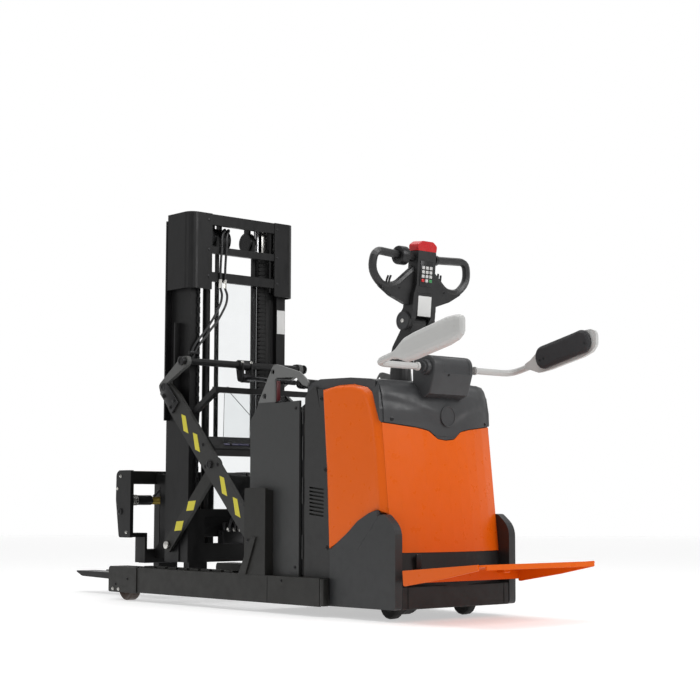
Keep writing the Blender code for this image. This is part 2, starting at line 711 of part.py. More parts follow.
def door_top_line(drop):
    """The dipped line of the door's top edge in (y, z), lowered by drop and run past both sides."""
    top = DOOR_TOP_Z - drop
    shoulder = DOOR_SHOULDER_Z - drop
    dip = DOOR_DIP_Z - drop
    wide = DOOR_HALF + 0.013
    return [
        (-wide, top, 0.0), (-0.165, shoulder, 0.060), (-0.100, shoulder - 0.012, 0.04),
        (-0.052, dip + 0.006, 0.03), (0.0, dip, 0.03), (0.052, dip + 0.006, 0.03),
        (0.100, shoulder - 0.012, 0.04), (0.165, shoulder, 0.060), (wide, top, 0.0)]


def door_line_prism(drop, ceiling, rear_x, front_x):
    """A block along X that reaches from the door's top line up to a ceiling."""
    line = door_top_line(drop)
    outline = [(line[0][0], ceiling, 0.0), *line, (line[-1][0], ceiling, 0.0)]
    return prism(corner_arcs(outline, 4), "x", rear_x, front_x)


def build_rear_door():
    """The bowed orange rear door, its top edge dipped in the middle under the cover's beak."""
    inner = BODY_HALF_WIDTH - PANEL_THICKNESS - SEAT_GAP
    door = rear_skin(DOOR_BOTTOM_Z, DOOR_TOP_Z + 0.02, DOOR_THICKNESS, 0.0, inner)
    door = cut(door, door_line_prism(0.0015, 1.0, -0.20, 0.40))
    return [named(door, "rear_door", "orange", 35)]


def build_rear_sill():
    """The rear sill beam and the bowed strip above it that carries the platform's hinge lugs."""
    half = BODY_HALF_WIDTH - PANEL_THICKNESS - SEAT_GAP
    beam = block((0.000, 0.044), (-half, half), (BODY_BOTTOM_Z, 0.150), 0.004, 1)
    strip = rear_skin(0.140, DOOR_BOTTOM_Z - SEAT_GAP, DOOR_THICKNESS + 0.004, 0.002, half)
    x, z = PLATFORM_HINGE_X, PLATFORM_HINGE_Z
    lugs = [
        prism(corner_arcs([
            (x - 0.0105, z - 0.0105, 0.010), (x - 0.0105, z + 0.0105, 0.010), (x + 0.0105, z + 0.0105, 0.010),
            (0.046, z - 0.004, 0.0), (0.046, z - 0.042, 0.0), (x + 0.008, z - 0.0105, 0.010)], 3),
            "y", low, low + HINGE_EAR_THICKNESS)
        for low in (-HINGE_EAR_Y - HINGE_EAR_THICKNESS, HINGE_EAR_Y)]
    sill = join(beam, strip, *lugs)
    return [named(sill, "rear_sill", "cover_grey")]


def hood_ring(z, centre_x, corner_x, half):
    """Plan ring of the hood's rear part at a height, from its middle, corner and width."""
    steps = 12
    ring = []
    for step in range(steps + 1):
        across = half * (1 - 2 * step / steps)
        share = abs(across / half)
        ring.append((centre_x + (corner_x - centre_x) * share ** 2, across, z))
    return [*ring, (0.200, -half, z), (0.200, half, z)]


def build_top_cover():
    """The moulded hood: a sloping shoulder over the rear door with a beak, and a domed front deck."""
    base_x = DOOR_CENTRE_X + DOOR_LEAN * (DOOR_TOP_Z - DOOR_BOTTOM_Z)
    rear = lofted([
        hood_ring(0.862, base_x, base_x + DOOR_BOW, DOOR_HALF - 0.001),
        hood_ring(0.915, base_x + 0.001, base_x + DOOR_BOW + 0.001, DOOR_HALF - 0.002),
        hood_ring(0.985, 0.104, 0.140, DOOR_HALF - 0.007), hood_ring(1.025, 0.142, 0.152, DOOR_HALF - 0.019),
        hood_ring(1.045, 0.172, 0.170, DOOR_HALF - 0.039), hood_ring(1.051, 0.192, 0.192, DOOR_HALF - 0.062)])
    inner = BODY_HALF_WIDTH - PANEL_THICKNESS - SEAT_GAP
    past = BODY_HALF_WIDTH + 0.055
    beside = [
        prism(corner_arcs([
            (0.109, 0.70, 0.0), (0.1245, 0.850, 0.100), (0.1885, 1.007, 0.050), (0.215, 1.060, 0.0),
            (0.50, 1.10, 0.0), (0.50, 0.70, 0.0)], 5), "y", low, high)
        for low, high in ((inner, past), (-past, -inner))]
    skin = rear_skin(0.74, 0.875, DOOR_THICKNESS + 0.02)
    skin = combine(skin, [door_line_prism(-0.0015, 0.90, -0.10, 0.30)], "INTERSECT")
    deck = prism(corner_arcs([
        (0.170, 0.960, 0.0), (HOOD_FRONT_X, 0.960, 0.0), (HOOD_FRONT_X, 1.045, 0.03), (0.540, 1.066, 0.03),
        (0.330, 1.062, 0.03), (0.200, HOOD_TOP_Z - 0.005, 0.0), (0.170, 1.040, 0.0)], 4),
        "y", 0.0002 - inner, inner - 0.0002)
    cover = cut(join(rear, skin), *beside)
    cover = join(cover, deck)
    bore = rod((STEER_X, 0, 0.90), (STEER_X, 0, 1.20), 0.062, 28)
    cover = cut(cover, bore)
    return [named(cover, "top_cover", "cover_grey", 30)]


def build_gate_hub(cover):
    """The housing on the hood's shoulder that holds both side gates' hinges."""
    x, z = GATE_AXIS_X, GATE_AXIS_Z
    body = prism(corner_arcs([
        (0.062, 0.900, 0.0), (0.150, 0.900, 0.0), (0.140, 1.060, 0.02), (0.114, 1.154, 0.045),
        (0.022, 1.158, 0.045), (0.016, 1.070, 0.030), (0.060, 1.010, 0.040)], 5),
        "y", -HUB_BODY_HALF, HUB_BODY_HALF)
    body = softened(body, lambda at: abs(at.y) > HUB_BODY_HALF - 0.0005 and at.z > 1.0, 0.012, 3)
    bosses = [
        rod((x, side * (HUB_BODY_HALF - 0.02), z), (x, side * (GATE_HUB_HALF - 0.002), z), 0.038, 24, 0.030)
        for side in (1, -1)]
    hub = join(cut(body, copied(cover, (-RUNNING_GAP / 2, 0.0, RUNNING_GAP))), *bosses)
    return [named(hub, "gate_hub", "cover_grey", 30)]


def build_steering():
    """The drive unit with its motor and the tiller's column, all turning about the steering axis."""
    motor = rod((STEER_X, 0, 0.330), (STEER_X, 0, 0.5995), 0.098, 20)
    head = block((STEER_X - 0.085, STEER_X + 0.085), (-0.090, 0.090), (0.245, 0.335), 0.012, 1)
    cheek = block((STEER_X - 0.050, STEER_X + 0.050), (0.050, 0.088), (0.080, 0.260), 0.008, 1)
    axle = rod((STEER_X, -0.030, DRIVE_WHEEL_RADIUS), (STEER_X, 0.060, DRIVE_WHEEL_RADIUS), 0.022, 12)
    neck = rod((STEER_X, 0, 0.590), (STEER_X, 0, 0.640), 0.052, 16)
    unit = named(join(motor, head, cheek, axle, neck), "drive_unit", "chassis_grey", 35)
    column = rod((STEER_X, 0, 0.6405), (STEER_X, 0, 1.190), 0.030, 16)
    collar = rod((STEER_X, 0, 1.040), (STEER_X, 0, 1.200), 0.056, 20, 0.040)
    x, z = TILLER_PIVOT_X, TILLER_PIVOT_Z
    neck = prism(corner_arcs([
        (STEER_X - 0.040, 1.140, 0.0), (STEER_X + 0.036, 1.140, 0.0), (STEER_X + 0.014, 1.220, 0.05),
        (x + 0.040, z - 0.010, 0.03), (x + 0.026, z + 0.030, 0.02), (x - 0.020, z + 0.026, 0.02),
        (x - 0.030, z - 0.008, 0.02), (STEER_X - 0.062, 1.225, 0.05)], 4), "y", -TONGUE_HALF, TONGUE_HALF)
    neck = bored(neck, (x, z), -TONGUE_HALF, TONGUE_HALF, TILLER_PIN_RADIUS + RUNNING_GAP)
    column = named(join(column, collar, neck), "tiller_column", "cover_grey", 35)
    steering = pivot("steering_axis", (STEER_X, 0, 0.60), MACHINE)
    hang([unit, column], steering)

    profile = wheel_profile(DRIVE_WHEEL_RADIUS, DRIVE_WHEEL_WIDTH, 0.0228, DRIVE_WHEEL_WIDTH - 0.004, 0.090)
    wheel = turned(profile, Vector((STEER_X, 0, DRIVE_WHEEL_RADIUS)), 28)
    wheel = named(wheel, "drive_wheel", "tread_black", 40)
    hang([wheel], pivot("drive_wheel_axle", (STEER_X, 0, DRIVE_WHEEL_RADIUS), steering))
    return steering


def lean(piece):
    """Turn a piece modelled upright above the tiller's pivot to the tiller's lean."""
    origin = Vector((TILLER_PIVOT_X, 0, TILLER_PIVOT_Z))
    turn = Matrix.Translation(origin) @ Matrix.Rotation(-TILLER_LEAN, 4, "Y") @ Matrix.Translation(-origin)
    piece.data.transform(turn)
    return piece


def build_tiller(steering):
    """The tilting tiller: arm, grip frame, looped handles and the red reversing button."""
    x, z = TILLER_PIVOT_X, TILLER_PIVOT_Z
    rear, front = x - TILLER_FACE, x + TILLER_BACK
    arm = prism(corner_arcs([
        (-CHEEK_HALF, z + 0.046, 0.006), (CHEEK_HALF, z + 0.046, 0.006), (CHEEK_HALF - 0.004, z + 0.120, 0.02),
        (0.056, z + 0.165, 0.02), (0.056, z + 0.322, 0.006), (-0.056, z + 0.322, 0.006),
        (-0.056, z + 0.165, 0.02), (0.004 - CHEEK_HALF, z + 0.120, 0.02)], 3), "x", rear, front)
    cheeks = []
    for side in (1, -1):
        low, high = sorted((side * (TONGUE_HALF + MOVING_GAP), side * CHEEK_HALF))
        cheeks.append(prism(corner_arcs([
            (rear + 0.002, z + 0.060, 0.0), (rear + 0.002, z + 0.016, 0.020), (x - 0.018, z - 0.032, 0.020),
            (x + 0.030, z - 0.032, 0.020), (x + 0.036, z + 0.020, 0.020), (front - 0.002, z + 0.060, 0.0)], 3),
            "y", low, high))
        cheeks.append(rod((x, side * (CHEEK_HALF - 0.004), z), (x, side * (CHEEK_HALF + 0.007), z), 0.044, 28))
    cheeks.append(rod((x, 0.01 - CHEEK_HALF, z), (x, CHEEK_HALF - 0.01, z), TILLER_PIN_RADIUS, 16))
    grip_x = x - 0.013
    loops = []
    for side in (1, -1):
        path = [
            (grip_x, side * 0.0300, z + 0.288), (grip_x, side * 0.290, z + 0.302),
            (grip_x, side * 0.302, z + 0.210), (grip_x, side * 0.238, z + 0.147),
            (grip_x, side * 0.160, z + 0.150), (grip_x, side * 0.0200, z + 0.262)]
        loops.append(pipe(eased(path, 0.052, 5), 0.0185, resolution=2))
    web = prism(corner_arcs([
        (0.0, z + 0.062, 0.0), (0.090, z + 0.074, 0.05), (0.180, z + 0.104, 0.05), (0.262, z + 0.150, 0.01),
        (0.215, z + 0.150, 0.02), (0.150, z + 0.160, 0.02), (0.060, z + 0.240, 0.01),
        (-0.060, z + 0.240, 0.01), (-0.150, z + 0.160, 0.02), (-0.215, z + 0.150, 0.02),
        (-0.262, z + 0.150, 0.01), (-0.180, z + 0.104, 0.05), (-0.090, z + 0.074, 0.05)],
        3), "x", grip_x - 0.016, grip_x + 0.014)
    head = named(lean(join(arm, web, *cheeks, *loops)), "tiller_head", "cover_grey", 35)
    button = prism(corner_arcs([
        (-0.057, z + 0.3223, 0.0), (0.057, z + 0.3223, 0.0), (0.060, z + 0.350, 0.014),
        (0.034, z + 0.368, 0.02), (-0.034, z + 0.368, 0.02), (-0.060, z + 0.350, 0.014)], 4),
        "x", rear + 0.001, front - 0.002)
    button = softened(button, lambda at: at.z > z + 0.335, 0.008, 2)
    button = named(lean(button), "reverse_button", "signal_red", 35)
    tilt = pivot("tiller_pivot", (x, 0, z), steering)
    hang([head, button], tilt)


def build_castors():
    """Two support castors under the rear corners, each with a swivelling fork and a wheel."""
    wheel_x = CASTOR_X + CASTOR_TRAIL
    for side, word in ((1, "left"), (-1, "right")):
        y = side * CASTOR_Y
        place = Matrix.Translation((0.0, y, 0.0))
        top = rod((CASTOR_X, 0, 0.150), (CASTOR_X, 0, 0.1772), 0.034, 20)
        crown = block((CASTOR_X - 0.036, CASTOR_X + 0.062), (-0.032, 0.032), (0.134, 0.152), 0.003, 1)
        cheeks = [
            prism(corner_arcs([
                (CASTOR_X - 0.030, 0.140, 0), (wheel_x - 0.016, CASTOR_RADIUS - 0.012, 0.012),
                (wheel_x + 0.016, CASTOR_RADIUS - 0.012, 0.012), (CASTOR_X + 0.056, 0.140, 0)], 3),
                "y", low, low + 0.006)
            for low in (-0.032, 0.026)]
        axle = rod((wheel_x, -0.030, CASTOR_RADIUS), (wheel_x, 0.030, CASTOR_RADIUS), 0.008, 14)
        fork = named(join(crown, top, *cheeks, axle), f"castor_fork_{word}", "chassis_grey", 30)
        fork.data.transform(place)
        profile = wheel_profile(CASTOR_RADIUS, CASTOR_WIDTH, 0.0088, CASTOR_WIDTH + 0.002, 0.046)
        wheel = turned(profile, Vector((wheel_x, y, CASTOR_RADIUS)), 16)
        wheel = named(wheel, f"castor_wheel_{word}", "tread_black", 40)
        swivel = pivot(f"castor_swivel_{word}", (CASTOR_X, y, 0.17), MACHINE)
        hang([fork], swivel)
        hang([wheel], pivot(f"castor_axle_{word}", (wheel_x, y, CASTOR_RADIUS), swivel))


def build_platform():
    """The folding stand-on platform: a pressed plate with tapering side flanges and hinge lugs."""
    x, z = PLATFORM_HINGE_X, PLATFORM_HINGE_Z
    rear = x - PLATFORM_LENGTH
    half = PLATFORM_HALF_WIDTH
    front = x - 0.012
    plate = prism(corner_arcs([
        (front, half - 0.004, 0.004), (rear, half - 0.004, 0.030), (rear, 0.004 - half, 0.030),
        (front, 0.004 - half, 0.004)], 3), "z", z + 0.004, z + 0.004 + PLATFORM_PLATE)
    flanges = [
        prism(corner_arcs([
            (front, z + 0.014, 0.0), (rear + 0.020, z + 0.014, 0.0), (rear + 0.020, z - 0.010, 0.006),
            (x - 0.260, z - 0.032, 0.15), (front, z - 0.052, 0.010)], 3),
            "y", low, low + 0.008)
        for low in (-half, half - 0.008)]
    lip = block((rear, rear + 0.008), (0.031 - half, half - 0.031), (z - PLATFORM_LIP, z + 0.012))
    front_lip = block((front - 0.006, front), (0.004 - half, half - 0.004), (z - 0.040, z + 0.012))
    lugs = [block((x - 0.060, x + 0.014), (y - 0.020, y + 0.020), (z - 0.012, z + 0.010), 0.003, 1)
            for y in (0.0273 - HINGE_EAR_Y, HINGE_EAR_Y - 0.0273)]
    pin_half = HINGE_EAR_Y - SEAT_GAP
    pin = rod((x, -pin_half, z - 0.001), (x, pin_half, z - 0.001), 0.0075, 14)
    platform = join(plate, *flanges, lip, front_lip, *lugs, pin)
    turn = (Matrix.Translation((x, 0, z)) @ Matrix.Rotation(PLATFORM_TILT, 4, "Y")
            @ Matrix.Translation((-x, 0, -z)))
    platform.data.transform(turn)
    platform = named(platform, "platform", "orange", 30)
    hang([platform], pivot("platform_hinge", (x, 0, z), MACHINE))


def shell_ring(x, centre_z, tall, inner_y, depth):
    """Ring across a gate shell: flat on its inner side and bulged on its outer side."""
    ring = [(x, inner_y, centre_z - tall), (x, inner_y, centre_z + tall)]
    for step in range(1, 8):
        angle = math.pi / 2 - math.pi * step / 8
        rise = math.copysign(abs(math.sin(angle)) ** 0.7, math.sin(angle))
        ring.append((x, inner_y + depth * math.cos(angle) ** 0.6, centre_z + tall * rise))
    return ring


def build_gates():
    """Both folding side gates: bent tubes from the hub, each with a flared shell and a soft pad."""
    x, z = GATE_AXIS_X, GATE_AXIS_Z
    rise = math.tan(GATE_RISE)
    tall = GATE_PAD_HEIGHT / 2
    neck_x = x - 0.100
    front_x = neck_x - GATE_NECK_LENGTH
    rear_x = front_x - GATE_PAD_LENGTH

    def line(at_x):
        return z + (x - at_x) * rise

    inner = GATE_Y - 0.020
    stations = [
        (neck_x, 0.24, 0.70), (neck_x - 0.35 * GATE_NECK_LENGTH, 0.36, 0.75), (front_x, 0.88, 0.95),
        (front_x - 0.06, 0.97, 1.0), (rear_x + 0.080, 1.0, 1.0), (rear_x + 0.030, 0.88, 0.88),
        (rear_x + 0.008, 0.66, 0.62), (rear_x, 0.44, 0.34)]
    shell = lofted([
        shell_ring(at_x, line(at_x), tall * high, inner, GATE_SHELL_DEPTH * deep)
        for at_x, high, deep in stations])
    path = [
        (x, GATE_HUB_HALF - 0.0012, z), (x, GATE_Y - 0.002, z), (neck_x - 0.03, GATE_Y, line(neck_x - 0.03))]
    tube = pipe(eased(path, 0.060, 6), GATE_TUBE_RADIUS, resolution=2)
    gates = pair(join(shell, tube), "gate", "shell_grey", 40)
    pad_line = corner_arcs([
        (front_x + 0.012, line(front_x) - tall * 0.62, 0.040),
        (front_x + 0.012, line(front_x) + tall * 0.62, 0.040),
        (rear_x + 0.018, line(rear_x) + tall * 0.80, 0.050),
        (rear_x + 0.018, line(rear_x) - tall * 0.88, 0.050)], 5)
    seat = inner - SEAT_GAP
    pad = prism(pad_line, "y", seat - GATE_PAD_DEPTH, seat)
    pad = softened(pad, lambda at: at.y < seat - GATE_PAD_DEPTH + 0.0005, 0.006, 2)
    pads = pair(pad, "gate_pad", "pad_dark", 40)
    for gate, soft, side in zip(gates, pads, (1, -1)):
        hang([gate, soft], pivot(f"{gate.name}_axis", (x, side * GATE_HUB_HALF, z), MACHINE))


def arm_frame(along, across):
    """Station of a place on the long arm: along it from its lower pin, and across it upwards."""
    return (REACH_PIVOT_X + along * math.cos(REACH_ANGLE) - across * math.sin(REACH_ANGLE),
            REACH_PIVOT_Z + along * math.sin(REACH_ANGLE) + across * math.cos(REACH_ANGLE))


def bored(piece, place, inner, outer, radius):
    """Bore a hole along Y through a piece."""
    x, z = place
    return cut(piece, rod((x, inner - 0.02, z), (x, outer + 0.02, z), radius, 16))


def build_reach_arms():
    """The frame of both long arms: cranked heads, cross tube, torsion box, hoop and clear screen."""
    inner = ARM_INNER_Y
    outer = ARM_INNER_Y + ARM_THICKNESS
    half = ARM_WIDTH / 2
    tube_x, tube_z = REACH_TUBE_X, REACH_TUBE_Z
    blade = prism(corner_arcs([
        (*arm_frame(-0.045, -half * 0.8), 0.040), (*arm_frame(REACH_SPAN - 0.12, -half), 0.05),
        (*arm_frame(REACH_SPAN + 0.030, -half * 0.55), 0.030),
        (*arm_frame(REACH_SPAN + 0.030, half * 0.55), 0.030),
        (*arm_frame(REACH_SPAN - 0.12, half), 0.05), (*arm_frame(-0.045, half * 0.8), 0.040)], 3),
        "y", inner, outer)
    crank = prism(corner_arcs([
        (MAST_PIN_X - 0.045, BLOCK_Z - 0.030, 0.01), (MAST_PIN_X + 0.022, BLOCK_Z - 0.050, 0.01),
        (MAST_PIN_X + 0.050, BLOCK_Z + 0.012, 0.02), (tube_x + 0.030, tube_z + 0.026, 0.02),
        (tube_x - 0.022, tube_z + 0.026, 0.02), (tube_x - 0.026, tube_z - 0.016, 0.02),
        (MAST_PIN_X - 0.012, BLOCK_Z + 0.014, 0.03)], 2), "y", inner + 0.001, outer + 0.004)
    arm = join(blade, crank)
    arm = bored(arm, (REACH_PIVOT_X, REACH_PIVOT_Z), inner, outer, PIN_RADIUS + RUNNING_GAP)
    socket = bored(arm, (tube_x, tube_z), inner, outer, REACH_TUBE_RADIUS + SEAT_GAP)
    mid_pin = rod((MID_PIN_X, LINK_INNER_Y - 0.002, MID_PIN_Z), (MID_PIN_X, outer + 0.006, MID_PIN_Z),
                  PIN_RADIUS, 14)
    roller_inner = MAST_OUTER_Y + 0.010
    block_pin = rod((MAST_PIN_X, roller_inner, BLOCK_Z), (MAST_PIN_X, outer + 0.008, BLOCK_Z), 0.012, 12)
    roller = rod((MAST_PIN_X, roller_inner, BLOCK_Z), (MAST_PIN_X, GUIDE_LIP_Y - 0.002, BLOCK_Z), 0.030, 16)
    arm = join(socket, mid_pin, block_pin, roller)
    arms = pair(arm, "reach_arm", "chassis_grey")

    tube = rod((tube_x, -LEG_OUTER_Y, tube_z), (tube_x, LEG_OUTER_Y, tube_z), REACH_TUBE_RADIUS, 16)
    ears = [
        prism(corner_arcs([
            (tube_x - 0.030, tube_z + 0.012, 0.01), (CYLINDER_EYE_X - 0.022, CYLINDER_EYE_Z - 0.020, 0.02),
            (CYLINDER_EYE_X + 0.022, CYLINDER_EYE_Z - 0.020, 0.02), (tube_x + 0.030, tube_z + 0.012, 0.01)], 2),
            "y", low, low + 0.010)
        for low in (-0.034, 0.024)]
    tube = named(join(tube, *ears), "reach_tube", "mast_black", 35)

    box_line = corner_arcs([
        (*arm_frame(REACH_HALF_LENGTH + 0.046, BOX_ACROSS[1]), 0.006),
        (*arm_frame(REACH_HALF_LENGTH + 0.136, BOX_ACROSS[1]), 0.006),
        (*arm_frame(REACH_HALF_LENGTH + 0.136, BOX_ACROSS[0]), 0.006),
        (*arm_frame(REACH_HALF_LENGTH + 0.046, BOX_ACROSS[0]), 0.006)], 2)
    reach = inner - SEAT_GAP
    box = named(prism(box_line, "y", -reach, reach), "torsion_box", "mast_black")

    hoop_y = MAST_OUTER_Y + 0.021
    bar = block((HOOP_X - 0.014, HOOP_X + 0.014), (-hoop_y - 0.014, hoop_y + 0.014),
                (HOOP_Z - 0.014, HOOP_Z + 0.014))
    slopes = []
    for side in (1, -1):
        line = [
            (HOOP_X - 0.012, HOOP_Z - 0.012), (HOOP_X + 0.004, HOOP_Z + 0.0125), (1.512, 0.972), (1.530, 0.900),
            (1.495, 0.900), (1.490, 0.952)]
        low, high = sorted((side * (hoop_y - 0.014), side * (hoop_y + 0.014)))
        slopes.append(prism(line, "y", low, high))
        low, high = sorted((side * (hoop_y - 0.014), side * reach))
        slopes.append(block((1.496, 1.529), (low, high), (0.902, 0.934)))
    hoop = named(join(bar, *slopes), "hoop_bar", "mast_black")

    low_x, low_z = arm_frame(REACH_HALF_LENGTH + 0.090, BOX_ACROSS[1] + 0.0006)
    slope = 0.002 * math.tan(REACH_ANGLE)
    screen = prism([
        (HOOP_X - 0.002, HOOP_Z - 0.0144), (HOOP_X + 0.002, HOOP_Z - 0.0144), (low_x + 0.002, low_z + slope),
        (low_x - 0.002, low_z - slope)], "y", 0.030 - MAST_OUTER_Y, MAST_OUTER_Y - 0.030)
    screen = named(screen, "reach_screen", "clear_sheet")

    hinge = pivot("reach_pivot", (REACH_PIVOT_X, 0, REACH_PIVOT_Z), MACHINE)
    hang([*arms, tube, box, hoop, screen], hinge)
    return hinge


def build_reach_links(arm_hinge):
    """The short links from the long arms' middle pins down to the foot of the mast."""
    half = LINK_WIDTH / 2
    run = Vector((MAST_PIN_X - MID_PIN_X, REACH_PIVOT_Z - MID_PIN_Z)).normalized()
    side = Vector((-run.y, run.x))
    top = Vector((MID_PIN_X, MID_PIN_Z)) - run * half
    foot = Vector((MAST_PIN_X, REACH_PIVOT_Z)) + run * half
    outline = corner_arcs([
        (*(top + side * half), half), (*(top - side * half), half), (*(foot - side * half), half),
        (*(foot + side * half), half)], 5)
    outer = LINK_INNER_Y + LINK_THICKNESS
    link = prism(outline, "y", LINK_INNER_Y, outer)
    link = bored(link, (MID_PIN_X, MID_PIN_Z), LINK_INNER_Y, outer, PIN_RADIUS + RUNNING_GAP)
    link = bored(link, (MAST_PIN_X, REACH_PIVOT_Z), LINK_INNER_Y, outer, PIN_RADIUS + RUNNING_GAP)
    links = pair(link, "reach_link", "chassis_grey")
    hinge = pivot("link_pivot", (MID_PIN_X, 0, MID_PIN_Z), arm_hinge)
    hang(links, hinge)
    return hinge


def channel(web_outer_y, web, flange_inner_y, rear_x, front_x, flange, low_z, high_z):
    """A left mast rail: a channel that opens inwards."""
    web_inner_y = web_outer_y - web
    section = [
        (rear_x, web_outer_y), (front_x, web_outer_y), (front_x, flange_inner_y),
        (front_x - flange, flange_inner_y), (front_x - flange, web_inner_y),
        (rear_x + flange, web_inner_y), (rear_x + flange, flange_inner_y), (rear_x, flange_inner_y)]
    return prism(section, "z", low_z, high_z)


def build_outer_mast(link_hinge):
    """The outer mast: two rails, cross members, pin feet, block guides, guard and lift cylinders."""
    rail = channel(MAST_OUTER_Y, RAIL_WEB, MAST_OUTER_Y - RAIL_FLANGE, MAST_REAR_X, MAST_FRONT_X,
                   RAIL_FLANGE_THICKNESS, MAST_BOTTOM_Z, MAST_TOP_Z)
    guide_half = 0.030 + MOVING_GAP
    travel_low = REACH_PIVOT_Z + REACH_SPAN * math.sin(REACH_ANGLE - math.radians(6.4)) - 0.075
    travel_high = REACH_PIVOT_Z + REACH_SPAN * math.sin(REACH_ANGLE + math.radians(24.5)) + 0.075
    lips = [
        block((MAST_PIN_X + low, MAST_PIN_X + high), (MAST_OUTER_Y - 0.002, GUIDE_LIP_Y), (travel_low, top))
        for low, high, top in ((-guide_half - 0.010, -guide_half, travel_high),
                               (guide_half, guide_half + 0.010, MAST_TOP_Z))]
    foot_block = block((MAST_PIN_X - 0.060, MAST_PIN_X + 0.060), (MAST_OUTER_Y - 0.002, MAST_OUTER_Y + 0.0065),
                       (MAST_BOTTOM_Z + 0.006, 0.360))
    foot_pin = rod((MAST_PIN_X, MAST_OUTER_Y - 0.007, REACH_PIVOT_Z),
                   (MAST_PIN_X, MAST_OUTER_Y + 0.036, REACH_PIVOT_Z), PIN_RADIUS, 20)
    rail = join(rail, *lips, foot_block, foot_pin)
    twin = mirrored(rail, "twin_rail")
    flange_y = MAST_OUTER_Y - RAIL_FLANGE / 2
    tie_rear = (MAST_REAR_X + 0.001, MAST_REAR_X + RAIL_FLANGE_THICKNESS - 0.001)
    low_tie = block(tie_rear, (-flange_y, flange_y), (MAST_BOTTOM_Z, 0.300))
    window_tie = block(tie_rear, (-flange_y, flange_y), (0.355, 0.472))
    windows = [block((1.58, 1.62), (y - 0.080, y + 0.080), (0.380, 0.432)) for y in (-0.125, 0.125)]
    high_tie = block(tie_rear, (-flange_y, flange_y), (HIGH_TIE_Z, HIGH_TIE_Z + 0.050))
    posts = [block(tie_rear, (y - 0.020, y + 0.020), (0.29, 0.36))
             for y in (0.051 - flange_y, flange_y - 0.051)]
    shelf = block((MAST_REAR_X + 0.001, LIFT_CYLINDER_X + 0.030), (-flange_y, flange_y), (MAST_BOTTOM_Z, 0.221))
    weldment = join(rail, twin, low_tie, cut(window_tie, *windows), *posts, shelf, high_tie)
    weldment = named(weldment, "outer_mast", "mast_black")
    cylinders = []
    for side, word in ((1, "left"), (-1, "right")):
        y = side * LIFT_CYLINDER_Y
        barrel = rod((LIFT_CYLINDER_X, y, 0.2213), (LIFT_CYLINDER_X, y, MAST_TOP_Z - 0.175), 0.0200, 16)
        gland = rod((LIFT_CYLINDER_X, y, MAST_TOP_Z - 0.205), (LIFT_CYLINDER_X, y, MAST_TOP_Z - 0.155),
                    0.0235, 16)
        bore = rod((LIFT_CYLINDER_X, y, LIFT_ROD_FOOT_Z - SEAT_GAP), (LIFT_CYLINDER_X, y, MAST_TOP_Z - 0.105),
                   LIFT_ROD_RADIUS + RUNNING_GAP, 12)
        cylinders.append(named(cut(join(barrel, gland), bore), f"lift_cylinder_{word}", "mast_black", 35))
    guard = block((MAST_REAR_X + 0.004, MAST_REAR_X + 0.0075), (0.045 - LIFT_CYLINDER_Y, LIFT_CYLINDER_Y - 0.015),
                  (0.4723, HIGH_TIE_Z - SEAT_GAP))
    guard = named(guard, "mast_guard", "clear_sheet")
    hinge = pivot("mast_pivot", (MAST_PIN_X, 0, REACH_PIVOT_Z), link_hinge)
    hang([weldment, *cylinders, guard], hinge)
    return hinge


def yoke_plan(offset):
    """Plan outline of a left yoke plate that wraps round the outer rail's rear corner."""
    side_y = MAST_OUTER_Y + 0.0275 + offset
    rear_x = MAST_REAR_X - YOKE_STAND_OFF - offset
    radius = YOKE_RADIUS + offset
    points = [(MAST_REAR_X + 0.159, side_y)]
    centre = Vector((rear_x + radius, side_y - radius))
    for step in range(7):
        angle = math.radians(90 + 90 * step / 6)
        points.append((centre.x + radius * math.cos(angle), centre.y + radius * math.sin(angle)))
    points.append((rear_x, INNER_FLANGE_Y - 0.027))
    return points


